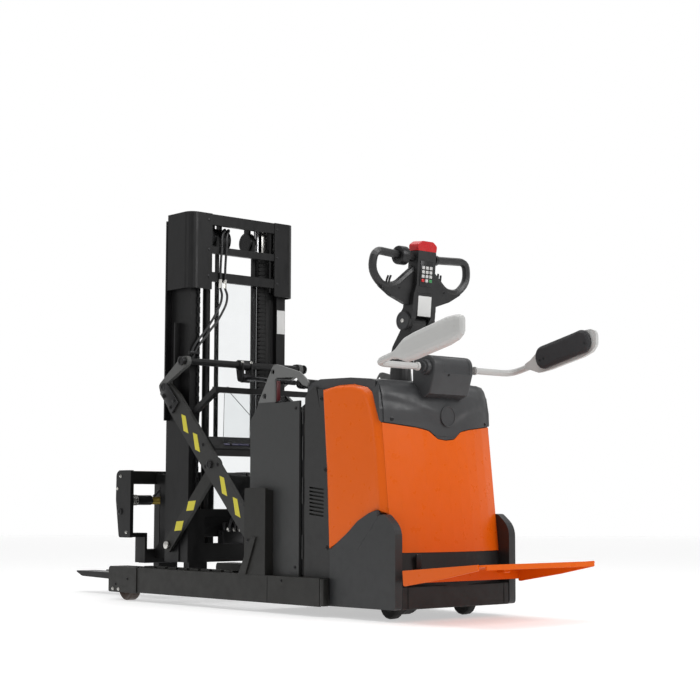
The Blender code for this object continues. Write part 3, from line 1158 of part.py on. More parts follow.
def build_inner_mast(mast_hinge):
    """The inner mast: rails, wrapped yoke with three bars, chain sheaves, chains and hose drum."""
    rear_x = MAST_REAR_X + RAIL_FLANGE_THICKNESS + MOVING_GAP
    front_x = MAST_FRONT_X - RAIL_FLANGE_THICKNESS - MOVING_GAP
    web_outer = MAST_OUTER_Y - RAIL_WEB - MOVING_GAP
    rail = channel(web_outer, INNER_WEB, INNER_FLANGE_Y, rear_x, front_x, INNER_WEB, MAST_BOTTOM_Z + 0.020,
                   YOKE_TOP_Z - 0.010)
    twin = mirrored(rail, "twin_rail")

    plates = []
    for side in (1, -1):
        outline = yoke_plan(0.006) + list(reversed(yoke_plan(0.0)))
        outline = [(x, side * y) for x, y in outline]
        plates.append(prism(outline, "z", YOKE_BOTTOM_Z, YOKE_TOP_Z))
    cap = block((rear_x, rear_x + 0.110), (-MAST_OUTER_Y - 0.0290, MAST_OUTER_Y + 0.0290),
                (YOKE_TOP_Z - 0.0177, YOKE_TOP_Z - 0.002))
    yoke_rear = MAST_REAR_X - YOKE_STAND_OFF
    cap_half = INNER_FLANGE_Y + 0.008
    cap_rear = block((yoke_rear - 0.003, rear_x + 0.002), (-cap_half, cap_half),
                     (YOKE_TOP_Z - 0.0177, YOKE_TOP_Z - 0.002))
    bar_half = INNER_FLANGE_Y - 0.017
    bar_x = (yoke_rear - 0.003, yoke_rear + 0.020)
    bars = [block(bar_x, (-bar_half, bar_half), (low, low + tall)) for low, tall in (
        (YOKE_TOP_Z - 0.057, 0.046), (YOKE_TOP_Z - 0.205, 0.036), (YOKE_BOTTOM_Z + 0.043, 0.046))]
    pieces = []
    hanger_top = YOKE_TOP_Z - 0.012
    for y in (CHAIN_Y, -CHAIN_Y):
        sheave = rod((rear_x + 0.062, y - 0.013, SHEAVE_Z), (rear_x + 0.062, y + 0.013, SHEAVE_Z), 0.050, 18)
        strand = block((rear_x + 0.004, rear_x + 0.018), (y - 0.009, y + 0.009), (0.760, SHEAVE_Z))
        hanger = block((rear_x + 0.040, rear_x + 0.084), (y - 0.006, y + 0.006),
                       (SHEAVE_Z - 0.020, hanger_top))
        pieces += [join(sheave, strand), hanger]
    drum_z = SHEAVE_Z - 0.010
    drum = rod((rear_x + 0.062, CHAIN_Y - 0.078, drum_z), (rear_x + 0.062, CHAIN_Y - 0.018, drum_z), 0.060, 18)
    drum_hanger = block((rear_x + 0.046, rear_x + 0.078), (CHAIN_Y - 0.056, CHAIN_Y - 0.042),
                        (drum_z + 0.030, hanger_top))
    duct_clips = [
        block((rear_x + 0.001, rear_x + 0.008), (-INNER_FLANGE_Y - 0.004, -DUCT_OUTER_Y - SEAT_GAP),
              (low, low + 0.040))
        for low in (0.760, YOKE_TOP_Z - 0.805, YOKE_TOP_Z - 0.405)]
    pieces += [drum, drum_hanger, *duct_clips]
    weldment = join(rail, twin, *plates, cap, cap_rear, *bars, *pieces)
    weldment = named(weldment, "inner_mast", "mast_black", 35)
    duct = block((rear_x - 0.001, rear_x + 0.021), (-DUCT_OUTER_Y, 0.022 - DUCT_OUTER_Y),
                 (0.700, YOKE_TOP_Z - 0.135))
    duct = named(duct, "energy_chain", "tread_black")
    rod_head_z = YOKE_TOP_Z - 0.0177 - SEAT_GAP
    lift_rods = [
        named(rod((LIFT_CYLINDER_X, y, LIFT_ROD_FOOT_Z), (LIFT_CYLINDER_X, y, rod_head_z),
                  LIFT_ROD_RADIUS, 12), f"lift_rod_{word}", "bare_steel", 35)
        for y, word in ((LIFT_CYLINDER_Y, "left"), (-LIFT_CYLINDER_Y, "right"))]
    slide = pivot("inner_mast_slide", (MAST_PIN_X, 0, 0.9), mast_hinge)
    hang([weldment, duct, *lift_rods], slide)
    return slide


def build_fork_carriage(inner_slide):
    """The fork carriage: roller plates, wide shouldered frame, side-shift cylinder and two forks."""
    bar_rear = CARRIAGE_FRONT_X - 0.115
    bar_front = CARRIAGE_FRONT_X - FORK_SHANK - SEAT_GAP
    wide = CARRIAGE_HALF_WIDTH
    upper = block((bar_rear, bar_front), (0.0195 - wide, wide - 0.0195),
                  (CARRIAGE_TOP_Z - 0.072, CARRIAGE_TOP_Z - 0.004), 0.003, 1)
    lower = block((bar_rear, bar_front), (0.102 - wide, wide - 0.102), (0.190, 0.262), 0.003, 1)
    pieces = [lower]
    for side in (1, -1):
        def span(low, high, side=side):
            return tuple(sorted((side * low, side * high)))
        pieces.append(block((bar_rear, bar_front), span(0.104, 0.150), (0.200, CARRIAGE_TOP_Z - 0.010)))
        pieces.append(block((bar_rear, bar_rear + 0.090), span(wide - 0.114, wide - 0.100),
                            (0.192, CARRIAGE_SHOULDER_Z + 0.020)))
        pieces.append(block((bar_rear, bar_rear + 0.090), span(wide - 0.112, wide - 0.004),
                            (CARRIAGE_SHOULDER_Z, CARRIAGE_SHOULDER_Z + 0.022)))
        low, high = span(wide - 0.0205, wide)
        foot_z = CARRIAGE_SHOULDER_Z - 0.002
        pieces.append(prism(corner_arcs([
            (bar_rear - 0.008, foot_z, 0.010), (bar_rear + 0.096, foot_z, 0.015),
            (bar_rear + 0.128, 0.520, 0.10), (bar_rear + 0.126, CARRIAGE_TOP_Z - 0.016, 0.03),
            (bar_rear + 0.100, CARRIAGE_TOP_Z, 0.02), (bar_rear - 0.008, CARRIAGE_TOP_Z, 0.010)], 3),
            "y", low, high))
    roller_x = MAST_REAR_X + MAST_DEPTH / 2
    plate_y = (INNER_FLANGE_Y - MOVING_GAP - 0.018, INNER_FLANGE_Y - MOVING_GAP)
    plate = prism(corner_arcs([
        (roller_x - 0.048, 0.300, 0.02), (CARRIAGE_REAR_X, 0.215, 0.02), (bar_rear + 0.010, 0.215, 0.0),
        (bar_rear + 0.010, 0.258, 0.0), (bar_rear - 0.039, 0.300, 0.03), (bar_rear - 0.039, 0.590, 0.02),
        (bar_rear + 0.010, 0.612, 0.0),
        (bar_rear + 0.010, 0.655, 0.0), (roller_x - 0.048, 0.640, 0.03)], 3), "y", *plate_y)
    web_inner = MAST_OUTER_Y - RAIL_WEB - MOVING_GAP - INNER_WEB
    roller_radius = MAST_DEPTH / 2 - RAIL_FLANGE_THICKNESS - MOVING_GAP - INNER_WEB - SEAT_GAP
    rollers = [
        rod((roller_x, plate_y[1] - 0.002, z), (roller_x, web_inner - MOVING_GAP, z), roller_radius, 16)
        for z in (0.356, 0.584)]
    plate = join(plate, *rollers)
    twin = mirrored(plate, "twin_plate")
    parts = [named(join(upper, *pieces, plate, twin), "carriage_frame", "mast_black", 35)]
    shift_x = (bar_rear + bar_front) / 2
    shifter = join(rod((shift_x, 0.240, 0.517), (shift_x, wide - 0.0208, 0.517), 0.026, 20),
                   rod((shift_x, 0.1503, 0.514), (shift_x, 0.250, 0.514), 0.019, 16))
    parts.append(named(shifter, "side_shift_cylinder", "bare_steel", 35))
    heel = FORK_SHANK
    shank = CARRIAGE_FRONT_X
    bottom = FORK_TOP_Z - FORK_THICKNESS
    profile = corner_arcs([
        (shank - heel, 0.185, 0.0), (shank - heel, bottom, 0.055), (FORK_TIP_X - 0.060, bottom + 0.016, 0.05),
        (FORK_TIP_X, FORK_TOP_Z - 0.006, 0.0), (FORK_TIP_X - 0.004, FORK_TOP_Z, 0.0),
        (shank, FORK_TOP_Z, 0.018), (shank, 0.650, 0.004), (shank - heel, 0.650, 0.004)], 5)
    for side, word in ((1, "left"), (-1, "right")):
        low, high = sorted((side * (FORK_OUTER_Y - FORK_WIDTH), side * FORK_OUTER_Y))
        parts.append(prism(profile, "y", low, high))
        named(parts[-1], f"fork_{word}", "mast_black", 30)
    slide = pivot("carriage_slide", (MAST_PIN_X, 0, 0.4), inner_slide)
    hang(parts, slide)


def build_reach_cylinder():
    """The reach cylinder: a barrel hinged on the hood's front and its rod with a free eye."""
    foot = Vector((CYLINDER_FOOT_X, 0, CYLINDER_FOOT_Z))
    eye = Vector((CYLINDER_EYE_X, 0, CYLINDER_EYE_Z))
    run = (eye - foot).normalized()
    tail = rod(foot + Vector((0, -0.025, 0)), foot + Vector((0, 0.025, 0)), BARREL_RADIUS + 0.004, 16)
    barrel = rod(foot + run * 0.010, foot + run * BARREL_LENGTH, BARREL_RADIUS, 16)
    gland = rod(foot + run * (BARREL_LENGTH - 0.030), foot + run * (BARREL_LENGTH + 0.003),
                BARREL_RADIUS + 0.003, 20)
    barrel = join(tail, barrel, gland)
    barrel = cut(barrel, rod(foot + Vector((0, -0.05, 0)), foot + Vector((0, 0.05, 0)), 0.010 + RUNNING_GAP, 12))
    barrel = cut(barrel, rod(foot + run * 0.060, foot + run * (BARREL_LENGTH + 0.05), 0.0125 + RUNNING_GAP, 14))
    barrel = named(barrel, "reach_cylinder_barrel", "mast_black", 35)
    hinge = pivot("cylinder_foot", foot, MACHINE)
    hang([barrel], hinge)
    piston = rod(foot + run * 0.430, eye - run * 0.006, 0.0125, 14)
    head = rod(eye + Vector((0, -0.0237, 0)), eye + Vector((0, 0.0237, 0)), 0.024, 16)
    piston = named(join(piston, head), "reach_cylinder_rod", "bare_steel", 35)
    hang([piston], pivot("rod_slide", eye, hinge))


def build_machine():
    """Build every sub-part and hang the fixed ones on the machine's own empty."""
    top_cover = build_top_cover()
    fixed = [
        *build_chassis(), *build_legs(), *build_battery(), *build_bay_panels(), *build_pivot_plates(),
        *build_corner_covers(), *build_side_panels(), *build_skirts(),
        *build_rear_door(), *build_rear_sill(), *top_cover, *build_gate_hub(top_cover[0])]
    hang(fixed, MACHINE)
    build_load_wheels()
    build_tiller(build_steering())
    build_castors()
    build_platform()
    build_gates()
    arm_hinge = build_reach_arms()
    mast_hinge = build_outer_mast(build_reach_links(arm_hinge))
    build_fork_carriage(build_inner_mast(mast_hinge))
    build_reach_cylinder()


build_machine()
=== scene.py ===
"""Looks of an electric reach stacker truck: finishes, fasteners, hoses, seams and pads on its CAD frame."""
import json
import logging
import math
from dataclasses import dataclass
from enum import Enum
from typing import Callable, Iterable, Optional, Sequence

import bmesh
import bpy
from mathutils import Matrix, Vector


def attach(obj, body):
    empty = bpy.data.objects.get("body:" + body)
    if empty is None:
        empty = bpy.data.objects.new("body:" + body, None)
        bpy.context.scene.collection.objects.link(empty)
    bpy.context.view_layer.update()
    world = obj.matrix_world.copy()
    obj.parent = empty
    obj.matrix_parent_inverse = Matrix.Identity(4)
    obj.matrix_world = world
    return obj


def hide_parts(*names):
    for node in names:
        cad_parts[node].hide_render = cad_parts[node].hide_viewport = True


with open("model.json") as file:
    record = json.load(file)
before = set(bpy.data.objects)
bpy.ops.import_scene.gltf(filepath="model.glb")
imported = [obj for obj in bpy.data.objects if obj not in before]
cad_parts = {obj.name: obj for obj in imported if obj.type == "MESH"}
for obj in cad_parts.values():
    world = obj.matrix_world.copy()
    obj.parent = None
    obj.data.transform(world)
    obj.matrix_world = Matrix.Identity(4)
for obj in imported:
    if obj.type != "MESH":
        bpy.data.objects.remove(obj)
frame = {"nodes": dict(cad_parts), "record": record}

LOG = logging.getLogger("reach_stacker")
REAR_FACE_X = -1.189966
Point = Sequence[float]
Piece = bpy.types.Object
Socket = bpy.types.NodeSocket


def station(x: float, y: float, z: float) -> Vector:
    """Turn a place measured forward from the body's rear face into the frame's coordinates."""
    return Vector((x + REAR_FACE_X, y, z))


class Side(Enum):
    """The machine's two sides."""

    LEFT = 1
    RIGHT = -1

    @property
    def word(self) -> str:
        """The side's plain name, as it ends a node's name."""
        return self.name.lower()

    @property
    def outward(self) -> Point:
        """The direction away from the machine's middle on this side."""
        return (0.0, float(self.value), 0.0)


class Body(Enum):
    """Bodies of the frame that pieces ride on."""

    MACHINE = "machine"
    TILLER = "tiller"
    ARMS = "reach_arms"
    LINKS = "reach_links"
    MAST = "mast"
    INNER = "mast_inner"
    CARRIAGE = "fork_carriage"
    GATE_LEFT = "side_gate_left"
    GATE_RIGHT = "side_gate_right"


class Graph:
    """A small helper that adds nodes to one material and links them."""

    def __init__(self, name: str) -> None:
        """Start an empty node tree with a Principled shader.

        Args:
            name: The material's name.
        """
        self.material = bpy.data.materials.new(name)
        self.material.use_nodes = True
        self.tree = self.material.node_tree
        self.tree.nodes.clear()
        self.shader = self.tree.nodes.new("ShaderNodeBsdfPrincipled")
        output = self.tree.nodes.new("ShaderNodeOutputMaterial")
        self.tree.links.new(self.shader.outputs["BSDF"], output.inputs["Surface"])
        self.coords = self.tree.nodes.new("ShaderNodeTexCoord")

    def add(self, kind: str, **settings: object) -> bpy.types.Node:
        """Add a node.

        Args:
            kind: The node's type name.
            settings: Properties to set on it.

        Returns:
            The new node.
        """
        node = self.tree.nodes.new(kind)
        for key, value in settings.items():
            setattr(node, key, value)
        return node

    def link(self, start: Socket, end: Socket) -> None:
        """Link two sockets."""
        self.tree.links.new(start, end)

    def set(self, name: str, value: object) -> None:
        """Set one value of the shader."""
        self.shader.inputs[name].default_value = value

    def noise(self, scale: float, detail: float = 4.0, roughness: float = 0.55,
              stretch: Point = (1.0, 1.0, 1.0)) -> Socket:
        """Add a noise field on Object coordinates.

        Args:
            scale: Features per metre.
            detail: Octaves of detail.
            roughness: Weight of the finer octaves.
            stretch: Scale of the coordinates along each axis.

        Returns:
            The noise's Fac socket.
        """
        mapping = self.add("ShaderNodeMapping")
        mapping.inputs["Scale"].default_value = stretch
        self.link(self.coords.outputs["Object"], mapping.inputs["Vector"])
        noise = self.add("ShaderNodeTexNoise")
        noise.inputs["Scale"].default_value = scale
        noise.inputs["Detail"].default_value = detail
        noise.inputs["Roughness"].default_value = roughness
        self.link(mapping.outputs["Vector"], noise.inputs["Vector"])
        return noise.outputs["Fac"]

    def ramp(self, value: Socket, low: float, high: float, to_low: float,
             to_high: float) -> Socket:
        """Map a value's range to another, clamped, and return the result's socket.

        Args:
            value: The socket to map.
            low: Where its range starts.
            high: Where its range ends.
            to_low: The result at the start.
            to_high: The result at the end.

        Returns:
            The result's socket.
        """
        node = self.add("ShaderNodeMapRange", clamp=True)
        for key, number in (("From Min", low), ("From Max", high), ("To Min", to_low), ("To Max", to_high)):
            node.inputs[key].default_value = number
        self.link(value, node.inputs["Value"])
        return node.outputs["Result"]

    def mix(self, factor: Socket, first: object, second: object) -> Socket:
        """Mix two colours, each a socket or an RGB triple, and return the result's socket.

        Args:
            factor: How much of the second colour there is.
            first: A socket or an RGB triple.
            second: Another of them.

        Returns:
            The result's socket.
        """
        node = self.add("ShaderNodeMix", data_type="RGBA")
        self.link(factor, node.inputs["Factor"])
        for value, socket in ((first, node.inputs[6]), (second, node.inputs[7])):
            if isinstance(value, Socket):
                self.link(value, socket)
            else:
                socket.default_value = (*value, 1.0)
        return node.outputs[2]

    def bump(self, height: Socket, strength: float, distance: float) -> Socket:
        """Add a bump from a height and return its Normal socket.

        Args:
            height: The socket of the height.
            strength: The bump's strength.
            distance: The height's depth in metres.

        Returns:
            The bump's Normal socket.
        """
        node = self.add("ShaderNodeBump")
        node.inputs["Strength"].default_value = strength
        node.inputs["Distance"].default_value = distance
        self.link(height, node.inputs["Height"])
        return node.outputs["Normal"]

    def height_above(self, low: float, high: float) -> Socket:
        """Return a socket that runs from 1 at a low height over the floor to 0 at a high one.

        Args:
            low: The height with the value 1.
            high: The height with the value 0.

        Returns:
            The result's socket.
        """
        split = self.add("ShaderNodeSeparateXYZ")
        self.link(self.coords.outputs["Object"], split.inputs["Vector"])
        return self.ramp(split.outputs["Z"], low, high, 1.0, 0.0)

    def facing_up(self) -> Socket:
        """Return a socket that is 1 on faces that look up and 0 on the others.

        Returns:
            The result's socket.
        """
        geometry = self.add("ShaderNodeNewGeometry")
        split = self.add("ShaderNodeSeparateXYZ")
        self.link(geometry.outputs["Normal"], split.inputs["Vector"])
        return self.ramp(split.outputs["Z"], 0.55, 0.95, 0.0, 1.0)

    def product(self, first: Socket, second: object) -> Socket:
        """Multiply a socket by another socket or a number.

        Args:
            first: A socket.
            second: Another socket, or a number.

        Returns:
            The result's socket.
        """
        node = self.add("ShaderNodeMath", operation="MULTIPLY")
        self.link(first, node.inputs[0])
        if isinstance(second, Socket):
            self.link(second, node.inputs[1])
        else:
            node.inputs[1].default_value = float(second)
        return node.outputs["Value"]


@dataclass(frozen=True)
class Finish:
    """A surface finish: colour with slow variation, grain, gloss, dust and scuffs."""

    name: str
    colour: Point
    roughness: float = 0.4
    metallic: float = 0.0
    variation: float = 0.1
    grain_scale: float = 900.0
    grain_depth: float = 0.0002
    grain_strength: float = 0.25
    gloss_spread: float = 0.1
    dust: float = 0.0
    scuffs: float = 0.15
    coat: float = 0.0
    coat_roughness: float = 0.15
    specular: float = 0.5
    stretch: Point = (1.0, 1.0, 1.0)
    upper_from: float = 0.0
    upper_colour: Optional[Point] = None

    def shade(self, factor: float) -> Point:
        """Return the finish's colour, lighter or darker by a factor."""
        return tuple(min(1.0, value * factor) for value in self.colour)

    def paint(self, graph: Graph) -> Socket:
        """Lay out the colour.

        Args:
            graph: The material's node helper.

        Returns:
            The colour's socket.
        """
        cloud = graph.noise(3.1, 3.0)
        base = graph.mix(cloud, self.shade(1.0 - self.variation), self.shade(1.0 + self.variation))
        if self.upper_colour is not None:
            lower = graph.height_above(self.upper_from, self.upper_from + 0.004)
            base = graph.mix(lower, self.upper_colour, base)
        fine = graph.noise(140.0, 5.0, 0.65, self.stretch)
        spots = graph.ramp(fine, 0.60, 0.78, 0.0, self.scuffs)
        worn = graph.mix(spots, base, tuple(min(1.0, value * 0.6 + 0.10) for value in self.colour))
        up = graph.facing_up()
        patches = graph.ramp(graph.noise(9.0), 0.35, 0.7, 0.2, 1.0)
        dust = graph.product(graph.product(up, patches), self.dust)
        low = graph.product(graph.product(graph.height_above(0.0, 0.30), graph.noise(14.0)), self.dust * 1.4)
        dusty = graph.mix(dust, worn, (0.30, 0.28, 0.26))
        return graph.mix(low, dusty, (0.20, 0.18, 0.16))

    def build(self) -> bpy.types.Material:
        """Make the finish's material.

        Returns:
            The material.
        """
        graph = Graph(self.name)
        shader = graph.shader
        graph.link(self.paint(graph), shader.inputs["Base Color"])
        streaks = graph.noise(22.0, 4.0, 0.6, self.stretch)
        gloss = graph.ramp(streaks, 0.3, 0.7, max(0.04, self.roughness - self.gloss_spread),
                           min(1.0, self.roughness + self.gloss_spread))
        graph.link(gloss, shader.inputs["Roughness"])
        grain = graph.noise(self.grain_scale, 3.0, 0.6, self.stretch)
        graph.link(graph.bump(grain, self.grain_strength, self.grain_depth), shader.inputs["Normal"])
        graph.set("Metallic", self.metallic)
        graph.set("Coat Weight", self.coat)
        graph.set("Coat Roughness", self.coat_roughness)
        graph.set("Specular IOR Level", self.specular)
        return graph.material


@dataclass(frozen=True)
class ClearSheet(Finish):
    """Clear polycarbonate with faint haze."""

    def build(self) -> bpy.types.Material:
        """Make the clear material.

        Returns:
            The material.
        """
        graph = Graph(self.name)
        shader = graph.shader
        haze = graph.noise(12.0, 4.0)
        graph.link(graph.mix(haze, self.shade(0.96), self.shade(1.02)), shader.inputs["Base Color"])
        graph.link(graph.ramp(haze, 0.3, 0.7, 0.03, 0.12), shader.inputs["Roughness"])
        graph.set("Transmission Weight", 1.0)
        graph.set("IOR", 1.18)
        graph.set("Specular IOR Level", self.specular)
        return graph.material


@dataclass(frozen=True)
class Palette:
    """Every finish of the machine, each under a plain field name."""

    orange: Finish = Finish(
        "orange_paint", (0.70, 0.108, 0.0018), roughness=0.34, variation=0.015, grain_scale=420.0,
        grain_strength=0.06, scuffs=0.0, coat=0.10, coat_roughness=0.14, specular=0.20)
    cover_grey: Finish = Finish(
        "cover_moulding", (0.036, 0.037, 0.039), roughness=0.44, variation=0.04, grain_scale=1500.0,
        grain_depth=0.0003, scuffs=0.02, specular=0.4)
    sill_dark: Finish = Finish(
        "sill_moulding", (0.013, 0.013, 0.013), roughness=0.50, grain_scale=1500.0, grain_depth=0.0003,
        grain_strength=0.30, dust=0.05, scuffs=0.06, specular=0.3)
    corner_dark: Finish = Finish(
        "corner_moulding", (0.022, 0.022, 0.022), roughness=0.46, variation=0.08, grain_scale=1400.0,
        dust=0.03, scuffs=0.04, specular=0.35)
    chassis_grey: Finish = Finish(
        "chassis_paint", (0.0145, 0.0145, 0.0132), roughness=0.44, variation=0.12, grain_scale=600.0,
        grain_strength=0.15, dust=0.05, scuffs=0.06, specular=0.3)
    arm_grey: Finish = Finish(
        "arm_paint", (0.021, 0.021, 0.020), roughness=0.42, grain_scale=600.0, grain_strength=0.15,
        dust=0.04, scuffs=0.06, specular=0.35, upper_from=1.105, upper_colour=(0.085, 0.086, 0.084))
    panel_grey: Finish = Finish(
        "panel_paint", (0.034, 0.035, 0.035), variation=0.06, grain_scale=700.0, grain_strength=0.12,
        dust=0.03, scuffs=0.03, specular=0.4, upper_from=0.9745, upper_colour=(0.125, 0.127, 0.125))
    mast_black: Finish = Finish(
        "mast_paint", (0.0065, 0.0065, 0.0068), variation=0.12, grain_scale=600.0, grain_strength=0.12,
        dust=0.02, scuffs=0.05, specular=0.3, stretch=(1.0, 1.0, 0.35))
    shell_grey: Finish = Finish(
        "shell_moulding", (0.46, 0.46, 0.45), roughness=0.45, variation=0.02, grain_scale=1400.0,
        grain_strength=0.15, scuffs=0.01, specular=0.4)
    pad_dark: Finish = Finish(
        "pad_skin", (0.024, 0.024, 0.026), roughness=0.62, variation=0.08, grain_scale=1100.0,
        grain_depth=0.0004, grain_strength=0.45, dust=0.02, scuffs=0.03, specular=0.35)
    signal_red: Finish = Finish(
        "signal_red", (0.48, 0.008, 0.010), roughness=0.26, variation=0.05, grain_strength=0.06,
        scuffs=0.01, coat=0.25)
    bare_steel: Finish = Finish(
        "ground_steel", (0.50, 0.50, 0.51), roughness=0.30, metallic=1.0, variation=0.08,
        grain_scale=800.0, dust=0.03, scuffs=0.08, stretch=(1.0, 6.0, 1.0))
    rod_dark: Finish = Finish(
        "blackened_steel", (0.045, 0.045, 0.047), roughness=0.32, metallic=0.8, grain_scale=800.0,
        dust=0.02, scuffs=0.08)
    tread_black: Finish = Finish(
        "black_elastomer", (0.014, 0.014, 0.014), roughness=0.70, variation=0.2, grain_scale=700.0,
        grain_strength=0.4, dust=0.08, scuffs=0.1, specular=0.3)
    roller_brown: Finish = Finish(
        "brown_elastomer", (0.040, 0.022, 0.014), roughness=0.38, variation=0.2, grain_scale=500.0,
        grain_strength=0.2, dust=0.10, scuffs=0.1)
    clear_sheet: Finish = ClearSheet("clear_polycarbonate", (0.90, 0.915, 0.92))
    zinc: Finish = Finish("zinc_plate", (0.66, 0.65, 0.62), roughness=0.28, metallic=1.0, variation=0.08)
    black_oxide: Finish = Finish("black_oxide", (0.020, 0.020, 0.021), roughness=0.34, metallic=0.5)
    tiller_dark: Finish = Finish(
        "tiller_moulding", (0.013, 0.013, 0.0135), variation=0.05, grain_scale=1500.0, grain_depth=0.0003,
        grain_strength=0.2, scuffs=0.01, specular=0.45)
    skirt_dark: Finish = Finish(
        "skirt_moulding", (0.023, 0.024, 0.025), roughness=0.42, variation=0.08, grain_scale=1400.0,
        scuffs=0.03, specular=0.4)
    handle_red: Finish = Finish("handle_red", (0.10, 0.010, 0.013), variation=0.05, scuffs=0.0)
    seam_dark: Finish = Finish(
        "seam_shadow", (0.004, 0.004, 0.004), roughness=0.80, variation=0.05, scuffs=0.0, specular=0.1)
    marking_yellow: Finish = Finish(
        "marking_yellow", (0.60, 0.53, 0.035), roughness=0.45, variation=0.06, scuffs=0.05)
    hose_rubber: Finish = Finish(
        "hose_rubber", (0.010, 0.010, 0.011), variation=0.15, grain_scale=1500.0, grain_strength=0.3)
    label_white: Finish = Finish("blank_plate", (0.62, 0.62, 0.61), variation=0.02, scuffs=0.01)
    key_white: Finish = Finish("key_caps", (0.52, 0.52, 0.51), variation=0.02)
    key_green: Finish = Finish("key_green", (0.04, 0.26, 0.08), variation=0.04)
    strip_violet: Finish = Finish("torsion_strip", (0.060, 0.058, 0.105), roughness=0.30)
    bare_brass: Finish = Finish("bare_strip", (0.34, 0.24, 0.04), roughness=0.35, metallic=0.5)


class Paintshop:
    """Builds each finish once and hands it out."""

    def __init__(self, palette: Palette) -> None:
        """Keep the palette and start with no materials."""
        self.palette = palette
        self.made: dict[str, bpy.types.Material] = {}

    def get(self, name: str) -> bpy.types.Material:
        """Return the material of a finish, made on first use.

        Args:
            name: The finish's field name in the palette.

        Returns:
            The material.
        """
        if name not in self.made:
            self.made[name] = getattr(self.palette, name).build()
        return self.made[name]

    def dress_nodes(self) -> None:
        """Give every CAD node the finish of its record slot, or its own where it differs."""
        for part in frame["record"]["subparts"]:
            node = frame["nodes"].get(part["node"])
            if node is None:
                continue
            node.data.materials.clear()
            finish = NODE_FINISH.get(part["node"], part["material_slot"])
            node.data.materials.append(self.get(finish))
            LOG.info("finish %s on %s", finish, part["node"])


NODE_FINISH = {
    "reach_arm_left": "arm_grey", "reach_arm_right": "arm_grey", "reach_cylinder_rod": "rod_dark",
    "corner_cover_left": "corner_dark", "corner_cover_right": "corner_dark", "rear_sill": "sill_dark",
    "side_shift_cylinder": "rod_dark", "tiller_head": "tiller_dark", "tiller_column": "tiller_dark",
    "skirt_left": "skirt_dark", "skirt_right": "skirt_dark",
}
SHOP = Paintshop(Palette())


